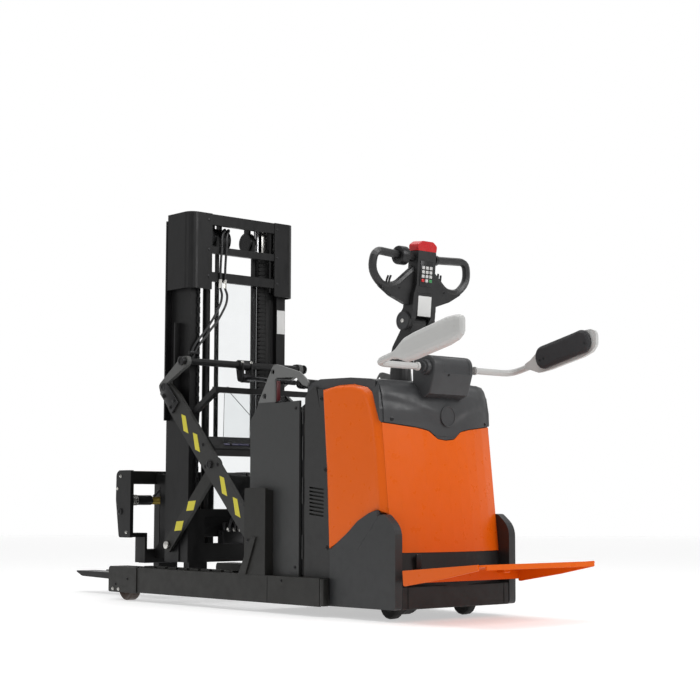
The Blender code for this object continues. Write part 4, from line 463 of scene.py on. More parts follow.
class Workbench:
    """Models new pieces by hand with Blender's operators and hands them to the bodies that carry them."""

    slots: dict[str, str] = {
        "zinc": "bare_steel", "bare_brass": "bare_steel", "black_oxide": "mast_black",
        "seam_dark": "mast_black", "rod_dark": "mast_black", "strip_violet": "mast_black",
        "hose_rubber": "tread_black", "marking_yellow": "shell_grey", "label_white": "shell_grey",
        "key_white": "shell_grey", "key_green": "shell_grey", "sill_dark": "cover_grey",
        "corner_dark": "cover_grey", "tiller_dark": "cover_grey", "skirt_dark": "cover_grey",
        "arm_grey": "chassis_grey", "handle_red": "signal_red",
    }
    bolt_turn: float = 17.0

    def clear(self) -> None:
        """Leave edit mode and deselect everything."""
        if bpy.context.object is not None and bpy.context.object.mode != "OBJECT":
            bpy.ops.object.mode_set(mode="OBJECT")
        bpy.ops.object.select_all(action="DESELECT")

    def activate(self, piece: Piece) -> None:
        """Select one piece alone and make it the active one.

        Args:
            piece: The piece.
        """
        self.clear()
        piece.select_set(True)
        bpy.context.view_layer.objects.active = piece

    def apply(self, piece: Piece, kind: str, **settings: object) -> Piece:
        """Add a modifier of a kind to a piece, set it, apply it and return the piece.

        Args:
            piece: The piece.
            kind: The modifier's type name.
            settings: Properties to set on the modifier.

        Returns:
            The piece.
        """
        modifier = piece.modifiers.new(kind.lower(), kind)
        for key, value in settings.items():
            setattr(modifier, key, value)
        self.activate(piece)
        bpy.ops.object.modifier_apply(modifier=modifier.name)
        self.clear()
        return piece

    def pick_all(self) -> None:
        """Select everything in edit mode."""
        bpy.ops.mesh.select_all(action="SELECT")

    def outward(self) -> None:
        """Turn all faces outwards in edit mode, everything selected."""
        self.pick_all()
        bpy.ops.mesh.normals_make_consistent(inside=False)

    def edit(self, piece: Piece, mode: str = "FACE") -> None:
        """Open one piece in edit mode with the given select mode and nothing selected.

        Args:
            piece: The piece.
            mode: The select mode: VERT, EDGE or FACE.
        """
        self.activate(piece)
        bpy.ops.object.mode_set(mode="EDIT")
        bpy.ops.mesh.select_mode(type=mode)
        bpy.ops.mesh.select_all(action="DESELECT")

    def pick(self, piece: Piece, test: Callable[[Vector, Vector], bool]) -> None:
        """Select the faces in edit mode whose middle and normal pass a test.

        Args:
            piece: The piece that is in edit mode.
            test: Says yes to a face's middle and normal.
        """
        mesh = bmesh.from_edit_mesh(piece.data)
        for face in mesh.faces:
            face.select_set(test(face.calc_center_median(), face.normal))
        bmesh.update_edit_mesh(piece.data)

    def pick_edges(self, piece: Piece, test: Callable[[Vector, Vector], bool]) -> None:
        """Select the edges in edit mode whose two ends pass a test.

        Args:
            piece: The piece that is in edit mode.
            test: Says yes to the places of an edge's two ends.
        """
        mesh = bmesh.from_edit_mesh(piece.data)
        for edge in mesh.edges:
            edge.select_set(test(edge.verts[0].co, edge.verts[1].co))
        bmesh.update_edit_mesh(piece.data)

    def block(self, size: Point, edge: float = 0.0) -> Piece:
        """Model a block about the origin.

        Args:
            size: Its edge lengths.
            edge: How far its edges are rounded.

        Returns:
            The block, in object mode.
        """
        self.clear()
        bpy.ops.mesh.primitive_cube_add(size=1.0)
        piece = bpy.context.active_object
        self.edit(piece, "EDGE")
        self.pick_all()
        bpy.ops.transform.resize(value=size)
        if edge:
            bpy.ops.mesh.bevel(offset=edge, segments=2, affect="EDGES")
        self.clear()
        return piece

    def disc(self, radius: float, depth: float, sides: int = 32, edge: float = 0.0) -> Piece:
        """Model a round piece that stands on the origin along Z, its top rim rounded.

        Args:
            radius: Its radius.
            depth: Its height.
            sides: How many sides it has.
            edge: How far the top rim is rounded.

        Returns:
            The piece, in object mode.
        """
        self.clear()
        middle = (0, 0, depth / 2)
        bpy.ops.mesh.primitive_cylinder_add(vertices=sides, radius=radius, depth=depth, location=middle)
        piece = bpy.context.active_object
        bpy.ops.object.transform_apply(location=True, rotation=True, scale=True)
        self.edit(piece, "EDGE")
        self.pick_edges(piece, lambda first, last: min(first.z, last.z) > depth * 0.99)
        if edge:
            bpy.ops.mesh.bevel(offset=edge, segments=2, affect="EDGES")
        self.clear()
        return piece

    def sunk(self, piece: Piece, rim: float, depth: float) -> Piece:
        """Inset a round piece's top face by a rim and push the middle in or out by a depth.

        Args:
            piece: A round piece that stands along Z.
            rim: The width of its rim.
            depth: How far the middle moves; down where it is below zero.

        Returns:
            The piece.
        """
        self.edit(piece)
        top = max(vert.co.z for vert in bmesh.from_edit_mesh(piece.data).verts)
        self.pick(piece, lambda middle, normal: normal.z > 0.9 and middle.z > top - 0.00002)
        bpy.ops.mesh.inset(thickness=rim, depth=0.0)
        bpy.ops.mesh.extrude_region_move(TRANSFORM_OT_translate={"value": (0.0, 0.0, depth)})
        self.clear()
        return piece

    def bolt(self, radius: float, height: float, sides: int = 6) -> Piece:
        """Model a bolt head on its washer, standing on the origin along Z.

        Args:
            radius: The head's radius.
            height: The head's height.
            sides: Six for a hexagon, more for a round head with a socket.

        Returns:
            The bolt head.
        """
        washer = self.disc(radius * 1.45, height * 0.25, 24, height * 0.06)
        head = self.disc(radius, height, sides, height * 0.12)
        if sides > 6:
            self.sunk(head, radius * 0.42, -height * 0.45)
        return self.joined([head, washer])

    def joined(self, pieces: Sequence[Piece]) -> Piece:
        """Join pieces into the first of them.

        Args:
            pieces: The pieces; all but the first are used up.

        Returns:
            The joined piece.
        """
        self.clear()
        for piece in pieces:
            piece.select_set(True)
        bpy.context.view_layer.objects.active = pieces[0]
        if len(pieces) > 1:
            bpy.ops.object.join()
        self.clear()
        return pieces[0]

    def set_down(self, piece: Piece, at: Point, facing: Point = (0.0, 0.0, 1.0),
                 turn: float = 0.0) -> Piece:
        """Move a piece from the origin to its place.

        Args:
            piece: The piece, modelled about the origin.
            at: Its place, in stations from the body's rear face.
            facing: The direction that its Z axis takes.
            turn: Its turn about that axis, in degrees.

        Returns:
            The piece.
        """
        aim = Vector(facing).to_track_quat("Z", "Y").to_matrix().to_4x4()
        spin = Matrix.Rotation(math.radians(turn), 4, "Z")
        piece.data.transform(Matrix.Translation(station(*at)) @ aim @ spin)
        return piece

    def tilted(self, piece: Piece, at: Point, angle: float) -> Piece:
        """Move a piece from the origin to a station, turned about the machine's cross axis."""
        piece.data.transform(Matrix.Translation(station(*at)) @ Matrix.Rotation(angle, 4, "Y"))
        return piece

    def slab(self, size: Point, at: Point, edge: float = 0.0) -> Piece:
        """Model a block at its station, its edges rounded."""
        return self.set_down(self.block(size, edge), at)

    def round(self, radius: float, depth: float, at: Point, facing: Point, edge: float,
              sides: int = 32) -> Piece:
        """Model a round piece that stands at a station and faces away from it."""
        return self.set_down(self.disc(radius, depth, sides, edge), at, facing)

    def twin(self, master: Piece) -> Piece:
        """Copy a piece with its own mesh.

        Args:
            master: The piece to copy.

        Returns:
            The copy.
        """
        copy = master.copy()
        copy.data = master.data.copy()
        bpy.context.collection.objects.link(copy)
        return copy

    def spread(self, master: Piece, places: Iterable[tuple[Point, Point]]) -> Piece:
        """Copy a piece to many places, each with its own mesh, and join the copies.

        Args:
            master: The piece, modelled about the origin; it is used up.
            places: Pairs of a place and the direction that the piece faces there.

        Returns:
            The joined copies.
        """
        copies = []
        for index, (at, facing) in enumerate(places):
            copies.append(self.set_down(self.twin(master), at, facing, self.bolt_turn * index))
        bpy.data.objects.remove(master)
        return self.joined(copies)

    def run(self, points: Sequence[Point], radius: float, straight: bool = False) -> Piece:
        """Model a hose, wire or seam bead along points.

        Args:
            points: Its points, in stations.
            radius: Its radius.
            straight: Whether it keeps sharp corners.

        Returns:
            The mesh object.
        """
        self.clear()
        bpy.ops.curve.primitive_bezier_curve_add()
        piece = bpy.context.active_object
        data = piece.data
        data.splines.clear()
        spline = data.splines.new("BEZIER")
        spline.bezier_points.add(len(points) - 1)
        for knot, point in zip(spline.bezier_points, points):
            knot.co = station(*point)
            knot.handle_left_type = "VECTOR" if straight else "AUTO"
            knot.handle_right_type = knot.handle_left_type
        data.dimensions = "3D"
        data.bevel_depth = radius
        data.bevel_resolution = 3
        data.resolution_u = 1 if straight else 8
        data.use_fill_caps = True
        bpy.ops.object.convert(target="MESH")
        piece = bpy.context.active_object
        self.clear()
        return piece

    def outline(self, corners: Sequence[Point]) -> Piece:
        """Model one flat face from its corners, in stations.

        Args:
            corners: Its corners in order, in stations.

        Returns:
            The flat face.
        """
        self.clear()
        bpy.ops.mesh.primitive_circle_add(vertices=len(corners), radius=1.0, fill_type="NGON")
        piece = bpy.context.active_object
        for vert, corner in zip(piece.data.vertices, corners):
            vert.co = station(*corner)
        return piece

    def sheet(self, corners: Sequence[Point], thickness: float) -> Piece:
        """Model a flat plate from its corners, in stations, with half its thickness on each side of them.

        Args:
            corners: Its corners in order, in stations.
            thickness: How thick it is.

        Returns:
            The plate.
        """
        piece = self.apply(self.outline(corners), "SOLIDIFY", thickness=thickness, offset=0.0)
        self.edit(piece)
        self.outward()
        self.clear()
        return piece

    def deliver(self, piece: Piece, name: str, finish: str, body: Body,
                smooth: float = 35.0) -> Piece:
        """Finish a piece and let it ride on its body.

        Args:
            piece: The finished mesh object.
            name: Its plain name.
            finish: Its finish's field name in the palette.
            body: The body that carries it.
            smooth: Smooth shading below this angle, in degrees.

        Returns:
            The piece.
        """
        piece.name = name
        piece.data.name = name
        piece.data.materials.clear()
        piece.data.materials.append(SHOP.get(finish))
        self.activate(piece)
        bpy.ops.object.shade_smooth_by_angle(angle=math.radians(smooth))
        self.clear()
        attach(piece, body.value)
        self.slots.get(finish, finish)
        LOG.info("piece %s on %s", name, body.value)
        return piece

    def group(self, pieces: Sequence[Piece], name: str, finish: str, body: Body) -> Piece:
        """Join pieces and deliver them as one."""
        return self.deliver(self.joined(pieces), name, finish, body)

    def fitted(self, name: str, size: Point, at: Point, edge: float, finish: str, body: Body) -> Piece:
        """Model a block at its station and deliver it."""
        return self.deliver(self.slab(size, at, edge), name, finish, body)

    def bolts(self, name: str, places: Iterable[tuple[Point, Point]], radius: float, height: float,
              body: Body, finish: str = "black_oxide", sides: int = 6) -> Piece:
        """Model a group of like bolts or screws and deliver it as one piece.

        Args:
            name: The group's plain name.
            places: Pairs of a place and the direction that the bolt faces there.
            radius: The head's radius.
            height: The head's height.
            body: The body that carries it.
            finish: Its finish's field name in the palette.
            sides: Six for a hexagon, more for a round head with a socket.

        Returns:
            The joined group.
        """
        return self.deliver(self.spread(self.bolt(radius, height, sides), places), name, finish, body)


BENCH = Workbench()
LEFTWARD = (0.0, 1.0, 0.0)
RIGHTWARD = (0.0, -1.0, 0.0)
REARWARD = (-1.0, 0.0, 0.0)
UPWARD = (0.0, 0.0, 1.0)


def both_sides(places: Iterable[Point]) -> list[tuple[Point, Point]]:
    """Give each place on the left flank, and its mirror on the right, with the direction it faces.

    Args:
        places: Places on the left flank, in stations.

    Returns:
        Pairs of a place and the direction it faces.
    """
    found: list[tuple[Point, Point]] = []
    for x, y, z in places:
        found.append(((x, y, z), LEFTWARD))
        found.append(((x, -y, z), RIGHTWARD))
    return found


@dataclass
class LegDressing:
    """Fasteners, weld lines and end closings of the two legs."""

    outer_y: float = 0.395
    bright_bolts: Sequence[Point] = ((2.126, 0.400, 0.0577), (2.0731, 0.400, 0.0568))
    small_bolts: Sequence[Point] = ((2.1021, 0.400, 0.0814), (1.9944, 0.400, 0.1112), (0.985, 0.4010, 0.330),
                                    (0.740, 0.395, 0.150))
    joints_x: Sequence[float] = (0.8417,)
    closing_size: Point = (0.026, 0.034, 0.120)
    closing_at: Point = (0.4555, 0.3775, 0.108)

    def build(self) -> None:
        """Add every leg piece."""
        BENCH.bolts("leg_axle_bolts", both_sides(self.bright_bolts), 0.0060, 0.006, Body.MACHINE, "zinc")
        BENCH.bolts("leg_cover_screws", both_sides(self.small_bolts), 0.0055, 0.004, Body.MACHINE, sides=20)
        lines = []
        closings = []
        for side in Side:
            y = side.value * (self.outer_y + 0.0002)
            for x in self.joints_x:
                lines.append(BENCH.run([(x, y, 0.050), (x, y, 0.166)], 0.0009, straight=True))
            x, y, z = self.closing_at
            closings.append(BENCH.slab(self.closing_size, (x, side.value * y, z), 0.003))
        BENCH.group(lines, "leg_weld_lines", "seam_dark", Body.MACHINE)
        BENCH.group(closings, "leg_end_closings", "chassis_grey", Body.MACHINE)


@dataclass
class BayDressing:
    """The battery bay's hinge leaves, panel screws and release handle."""

    gap_x: float = 0.655
    leaf_y: float = 0.3395
    screws: Sequence[Point] = ((0.700, 0.345, 0.940), (1.000, 0.345, 0.230), (0.700, 0.345, 0.210))
    leaf_heights: Sequence[Point] = ((0.865, 0.950), (0.700, 0.810), (0.500, 0.620), (0.250, 0.360))

    def build(self) -> None:
        """Add every bay piece."""
        leaves = []
        for side in Side:
            for low, high in self.leaf_heights:
                middle = (self.gap_x, side.value * self.leaf_y, (low + high) / 2)
                leaves.append(BENCH.slab((0.006, 0.004, high - low), middle, 0.0015))
        BENCH.group(leaves, "bay_hinge_leaves", "panel_grey", Body.MACHINE)
        BENCH.bolts("bay_panel_screws", both_sides(self.screws), 0.006, 0.004, Body.MACHINE, sides=20)
        BENCH.fitted("bay_release_handle", (0.016, 0.020, 0.100), (0.862, 0.322, 1.026), 0.003,
                     "handle_red", Body.MACHINE)
        BENCH.fitted("bay_release_foot", (0.040, 0.020, 0.016), (0.862, 0.320, 0.9745), 0.003,
                     "black_oxide", Body.MACHINE)


@dataclass
class BodyDressing:
    """Screws, hinge strap, seams, crowned panels, fillets and skirt rises of the drive compartment."""

    cover_screws: Sequence[Point] = ((0.518, 0.345, 0.975), (0.4915, 0.345, 0.6524), (0.4759, 0.345, 0.3039))
    fillet_y: float = 0.3392
    fillet_depth: float = 0.0118
    fillet_outline: Sequence[Point] = ((0.5450, 1.0210), (0.4980, 1.0160), (0.4700, 0.6700), (0.4440, 0.2990),
                                       (0.4640, 0.2990), (0.4700, 0.6560), (0.4850, 0.6560))
    rise_y: float = 0.3490
    rise_depth: float = 0.0310
    rise_outer_y: float = 0.355
    rise_front: float = 0.4415
    rise_foot_y: float = 0.3334
    rise_wide: float = 0.0260
    rise_taper: float = 1.35
    rise_outline: Sequence[Point] = (
        (0.1150, 0.4400), (0.1220, 0.4740), (0.1730, 0.4610), (0.2470, 0.4270), (0.3210, 0.3720),
        (0.3880, 0.3300), (0.4400, 0.2975), (0.4400, 0.2700), (0.2500, 0.3000))
    seam_x: float = -0.0003
    seam_y: float = 0.298
    panel_depth: tuple[float, float] = (0.3331, 0.3570)
    panel_foot: Sequence[tuple[float, float]] = (
        (0.5005, 1.018), (0.407, 1.031), (0.306, 1.031), (0.220, 1.013), (0.1867, 0.989), (0.158, 0.923),
        (0.1315, 0.858), (0.1139, 0.723), (0.100, 0.597), (0.0855, 0.460), (0.173, 0.458), (0.247, 0.424),
        (0.321, 0.369), (0.388, 0.327), (0.447, 0.298), (0.474, 0.675))
    panel_crest: Sequence[tuple[float, float]] = (
        (0.4985, 1.012), (0.407, 1.024), (0.310, 1.019), (0.240, 1.002), (0.208, 0.974), (0.180, 0.915),
        (0.160, 0.843), (0.143, 0.723), (0.132, 0.597), (0.123, 0.475), (0.173, 0.464), (0.247, 0.430),
        (0.321, 0.375), (0.388, 0.333), (0.446, 0.304), (0.472, 0.675))

    def build(self) -> None:
        """Add every piece on the drive compartment's flanks and rear."""
        screws = both_sides(self.cover_screws)
        BENCH.bolts("corner_cover_screws", screws, 0.0080, 0.004, Body.MACHINE, sides=20)
        x = self.seam_x
        beads = [BENCH.run([(x, y, 0.056), (x, y, 0.146)], 0.0012, straight=True)
                 for y in (self.seam_y, -self.seam_y)]
        beads.append(BENCH.run([(x, -0.300, 0.149), (x, 0.300, 0.149)], 0.0010, straight=True))
        BENCH.group(beads, "sill_seams", "seam_dark", Body.MACHINE)
        BENCH.fitted("platform_hinge_strap", (0.008, 0.032, 0.062), (0.0160, 0.219, 0.255), 0.002,
                     "black_oxide", Body.MACHINE)
        for side in Side:
            self.side_panel(side)
            self.shoulders(side)

    def side_panel(self, side: Side) -> None:
        """Model one orange side panel with its crowned rear and top edges.

        Args:
            side: The machine's side that it is for.
        """
        inner_y, outer_y = self.panel_depth
        panel = BENCH.outline([(x, side.value * inner_y, z) for x, z in self.panel_foot])
        BENCH.edit(panel)
        BENCH.pick_all()
        bpy.ops.mesh.extrude_region_move(
            TRANSFORM_OT_translate={"value": (0.0, side.value * (outer_y - inner_y), 0.0)})
        mesh = bmesh.from_edit_mesh(panel.data)
        for vert in mesh.verts:
            if abs(vert.co.y) > inner_y + 0.001:
                index = min(range(len(self.panel_foot)), key=lambda spot: (
                    station(self.panel_foot[spot][0], 0.0, self.panel_foot[spot][1])
                    - Vector((vert.co.x, 0.0, vert.co.z))).length)
                x, z = self.panel_crest[index]
                vert.co = station(x, side.value * outer_y, z)
        bmesh.update_edit_mesh(panel.data)
        BENCH.outward()
        bpy.ops.mesh.select_mode(type="EDGE")
        BENCH.pick_edges(panel, lambda first, last: min(abs(first.y), abs(last.y)) > outer_y - 0.0005
                         and min(first.z, last.z) > 0.460)
        bpy.ops.mesh.bevel(offset=0.012, segments=5, affect="EDGES")
        BENCH.clear()
        BENCH.deliver(panel, f"crowned_side_panel_{side.word}", "orange", Body.MACHINE, 45.0)
        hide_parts(f"side_panel_{side.word}")

    def shoulders(self, side: Side) -> None:
        """Close the cover beside one panel's front edge and the skirt below its curved foot.

        Args:
            side: The machine's side that they are for.
        """
        wedge = [(x, side.value * self.fillet_y, z) for x, z in self.fillet_outline]
        fillet = BENCH.sheet(wedge, self.fillet_depth)
        BENCH.deliver(fillet, f"corner_cover_fillet_{side.word}", "corner_dark", Body.MACHINE)
        crest = [(x, side.value * self.rise_y, z) for x, z in self.rise_outline]
        rise = BENCH.sheet(crest, self.rise_depth)
        for vert in rise.data.vertices:
            if abs(vert.co.y) > self.rise_outer_y:
                back = self.rise_front - (vert.co.x - REAR_FACE_X)
                vert.co.y = side.value * (self.rise_foot_y + self.rise_wide * (1.0 + self.rise_taper * back))
        BENCH.deliver(rise, f"skirt_rise_{side.word}", "skirt_dark", Body.MACHINE, 12.0)


@dataclass
class HoodDressing:
    """The hood's sculpted skin, bare disc, screws and cap, and the gate hub's moulded housing."""

    disc_at: Point = (0.0640, -0.0098, 0.8905)
    crease: Sequence[tuple[float, float]] = (
        (-0.3500, 0.9530), (-0.1497, 0.9120), (-0.0700, 0.8700), (-0.0100, 0.8480), (0.0500, 0.8700),
        (0.0900, 0.9000), (0.1651, 0.9311), (0.2547, 0.9503), (0.3500, 0.9650))
    lift: float = 0.0080
    rest: float = 0.0012
    wall: float = 0.0040
    half_width: float = 0.3280
    scan_from: float = 0.80
    scan_step: float = 0.0015
    scan_steps: int = 160
    cast_from: float = -1.6
    rear_depth: float = 0.215
    missed_depth: float = 0.2
    foot_margin: float = 0.0004
    top_margin: float = 0.0010
    crease_lead: float = 0.010
    crease_run: float = 0.030
    top_fade: float = 0.020
    side_fade: float = 0.030
    disc_radius: float = 0.047
    screws: Sequence[Point] = ((0.1095, 0.2886, 0.8700), (0.1130, -0.3007, 0.8647))
    hub_half: float = 0.122
    hub_heights: tuple[float, float] = (0.9655, 1.158)
    hub_depth: tuple[float, float] = (0.014, 0.156)
    hub_bevel: float = 0.044
    pocket: tuple[float, float] = (-0.100, 0.066)
    pocket_foot: float = 1.078
    foot_cut: tuple[Point, Point] = ((0.034, 0.0, 0.9905), (-0.20, 0.0, -0.55))
    rear_cut: tuple[Point, Point] = ((0.016, 0.0, 1.072), (-0.92, 0.0, -0.31))
    boss_radii: tuple[float, float] = (0.034, 0.021)
    axis: Point = (0.062, 0.0, 1.104)

    def crease_height(self, across: float) -> float:
        """Give the height of the hood's crease at a place across, on straight lines between its points.

        Args:
            across: The place across.

        Returns:
            The crease's height.
        """
        for (first_y, first_z), (last_y, last_z) in zip(self.crease, self.crease[1:]):
            if across <= last_y:
                share = min(max((across - first_y) / (last_y - first_y), 0.0), 1.0)
                return first_z + (last_z - first_z) * share
        return self.crease[-1][1]

    def rear_surface(self, across: float, height: float) -> Optional[float]:
        """Cast from behind on the CAD top cover.

        Args:
            across: The place across.
            height: The place's height.

        Returns:
            The world x of the hit, or None where there is none on the rear face.
        """
        node = frame["nodes"]["top_cover"]
        back = node.matrix_world.inverted()
        start = back @ Vector((self.cast_from, across, height))
        found, at, _, _ = node.ray_cast(start, back.to_3x3() @ Vector((1.0, 0.0, 0.0)))
        if not found:
            return None
        x = (node.matrix_world @ at).x
        return x if x < REAR_FACE_X + self.rear_depth else None

    def skin(self) -> None:
        """Model the hood's sculpted rear skin, which stands proud above its crease."""
        columns, rows = 64, 28
        BENCH.clear()
        bpy.ops.mesh.primitive_grid_add(x_subdivisions=columns, y_subdivisions=rows, size=1.0)
        skin = bpy.context.active_object
        spans: dict[int, tuple[float, float]] = {}
        for vert in skin.data.vertices:
            column = round((vert.co.x + 0.5) * columns)
            across = vert.co.x * 2 * self.half_width
            if column not in spans:
                heights = [self.scan_from + step * self.scan_step for step in range(self.scan_steps)]
                hits = [height for height in heights if self.rear_surface(across, height) is not None]
                spans[column] = (hits[0] + self.foot_margin, hits[-1] - self.top_margin)
            low, high = spans[column]
            height = low + (high - low) * (vert.co.y + 0.5)
            x = self.rear_surface(across, height)
            if x is None:
                x = REAR_FACE_X + self.missed_depth
            above = height - self.crease_height(across) + self.crease_lead
            step = min(max(above / self.crease_run, 0.0), 1.0)
            fade = min(1.0, (high - height) / self.top_fade, (self.half_width - abs(across)) / self.side_fade)
            raised = self.lift * step * step * (3 - 2 * step) * max(fade, 0.0)
            vert.co = (x - self.rest - raised, across, height)
        BENCH.edit(skin, "VERT")
        BENCH.pick_all()
        bpy.ops.mesh.vertices_smooth(factor=0.5, repeat=4, xaxis=True, yaxis=False, zaxis=False)
        BENCH.outward()
        BENCH.apply(skin, "SOLIDIFY", thickness=self.wall, offset=0.0)
        BENCH.deliver(skin, "hood_rear_skin", "cover_grey", Body.MACHINE, 50.0)

    def disc(self) -> None:
        """Set the bare round disc, with its ring, on the hood."""
        plate = BENCH.disc(self.disc_radius, 0.0040, 48, 0.0012)
        BENCH.sunk(plate, 0.0040, -0.0016)
        BENCH.set_down(plate, self.disc_at, (-1.0, -0.03, 0.02))
        BENCH.deliver(plate, "hood_disc", "cover_grey", Body.MACHINE)

    def fasteners(self) -> None:
        """Add the hood's screws and its pale cap."""
        places = [(at, (-0.96, math.copysign(0.29, at[1]), 0.02)) for at in self.screws]
        BENCH.bolts("hood_screws", places, 0.0065, 0.0035, Body.MACHINE, sides=20)
        cap = BENCH.round(0.020, 0.008, (0.190, -0.245, 1.0485), (-0.27, 0.0, 0.96), 0.003)
        BENCH.deliver(cap, "hood_filler_cap", "panel_grey", Body.MACHINE)

    def hub(self) -> None:
        """Model the gate hub's housing: rounded top, sloped foot, a pocket and two hinge bosses."""
        x, _, z = self.axis
        low, high = self.hub_heights
        rear, front = self.hub_depth
        BENCH.clear()
        bpy.ops.mesh.primitive_cube_add(size=1.0)
        body = bpy.context.active_object
        middle = station((rear + front) / 2, 0.0, (low + high) / 2)
        BENCH.edit(body, "EDGE")
        BENCH.pick_all()
        bpy.ops.transform.resize(value=(front - rear, 2 * self.hub_half, high - low))
        bpy.ops.transform.translate(value=middle)
        BENCH.pick_edges(body, lambda first, last: min(first.z, last.z) > high - 0.001
                         and abs(first.x - last.x) < 0.001)
        bpy.ops.mesh.bevel(offset=self.hub_bevel, segments=8, affect="EDGES")
        for point, normal in (self.foot_cut, self.rear_cut):
            BENCH.pick_all()
            bpy.ops.mesh.bisect(plane_co=station(*point), plane_no=normal, use_fill=True, clear_outer=True)
        for place, normal in (((0.0, self.pocket[0], 0.0), LEFTWARD), ((0.0, self.pocket[1], 0.0), LEFTWARD),
                              ((0.0, 0.0, self.pocket_foot), UPWARD)):
            BENCH.pick_all()
            bpy.ops.mesh.bisect(plane_co=place, plane_no=normal)
        bpy.ops.mesh.select_mode(type="FACE")
        BENCH.pick(body, lambda centre, normal: self.pocket[0] < centre.y < self.pocket[1]
                   and centre.z > self.pocket_foot and centre.x < REAR_FACE_X + 0.05)
        bpy.ops.mesh.inset(thickness=0.0035, depth=-0.0030)
        bpy.ops.mesh.select_mode(type="EDGE")
        BENCH.pick_edges(body, lambda first, last: abs(abs(first.y) - self.hub_half) < 0.001
                         and abs(abs(last.y) - self.hub_half) < 0.001 and abs(first.y - last.y) < 0.001)
        bpy.ops.mesh.bevel(offset=0.007, segments=3, affect="EDGES")
        BENCH.clear()
        parts = [body]
        for side in Side:
            boss = BENCH.disc(self.boss_radii[0 if side is Side.LEFT else 1], 0.024, 40, 0.004)
            BENCH.sunk(boss, 0.006, 0.014)
            foot = (x, side.value * (self.hub_half - 0.002), z)
            parts.append(BENCH.set_down(boss, foot, side.outward))
        hub = BENCH.joined(parts)
        BENCH.deliver(hub, "gate_hub_housing", "cover_grey", Body.MACHINE, 40.0)
        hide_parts("gate_hub")
        place = ((0.0150, 0.0300, 1.0705), REARWARD)
        BENCH.bolts("gate_hub_screw", [place], 0.004, 0.0025, Body.MACHINE, sides=20)

    def build(self) -> None:
        """Add every hood piece."""
        self.skin()
        self.disc()
        self.fasteners()
        self.hub()


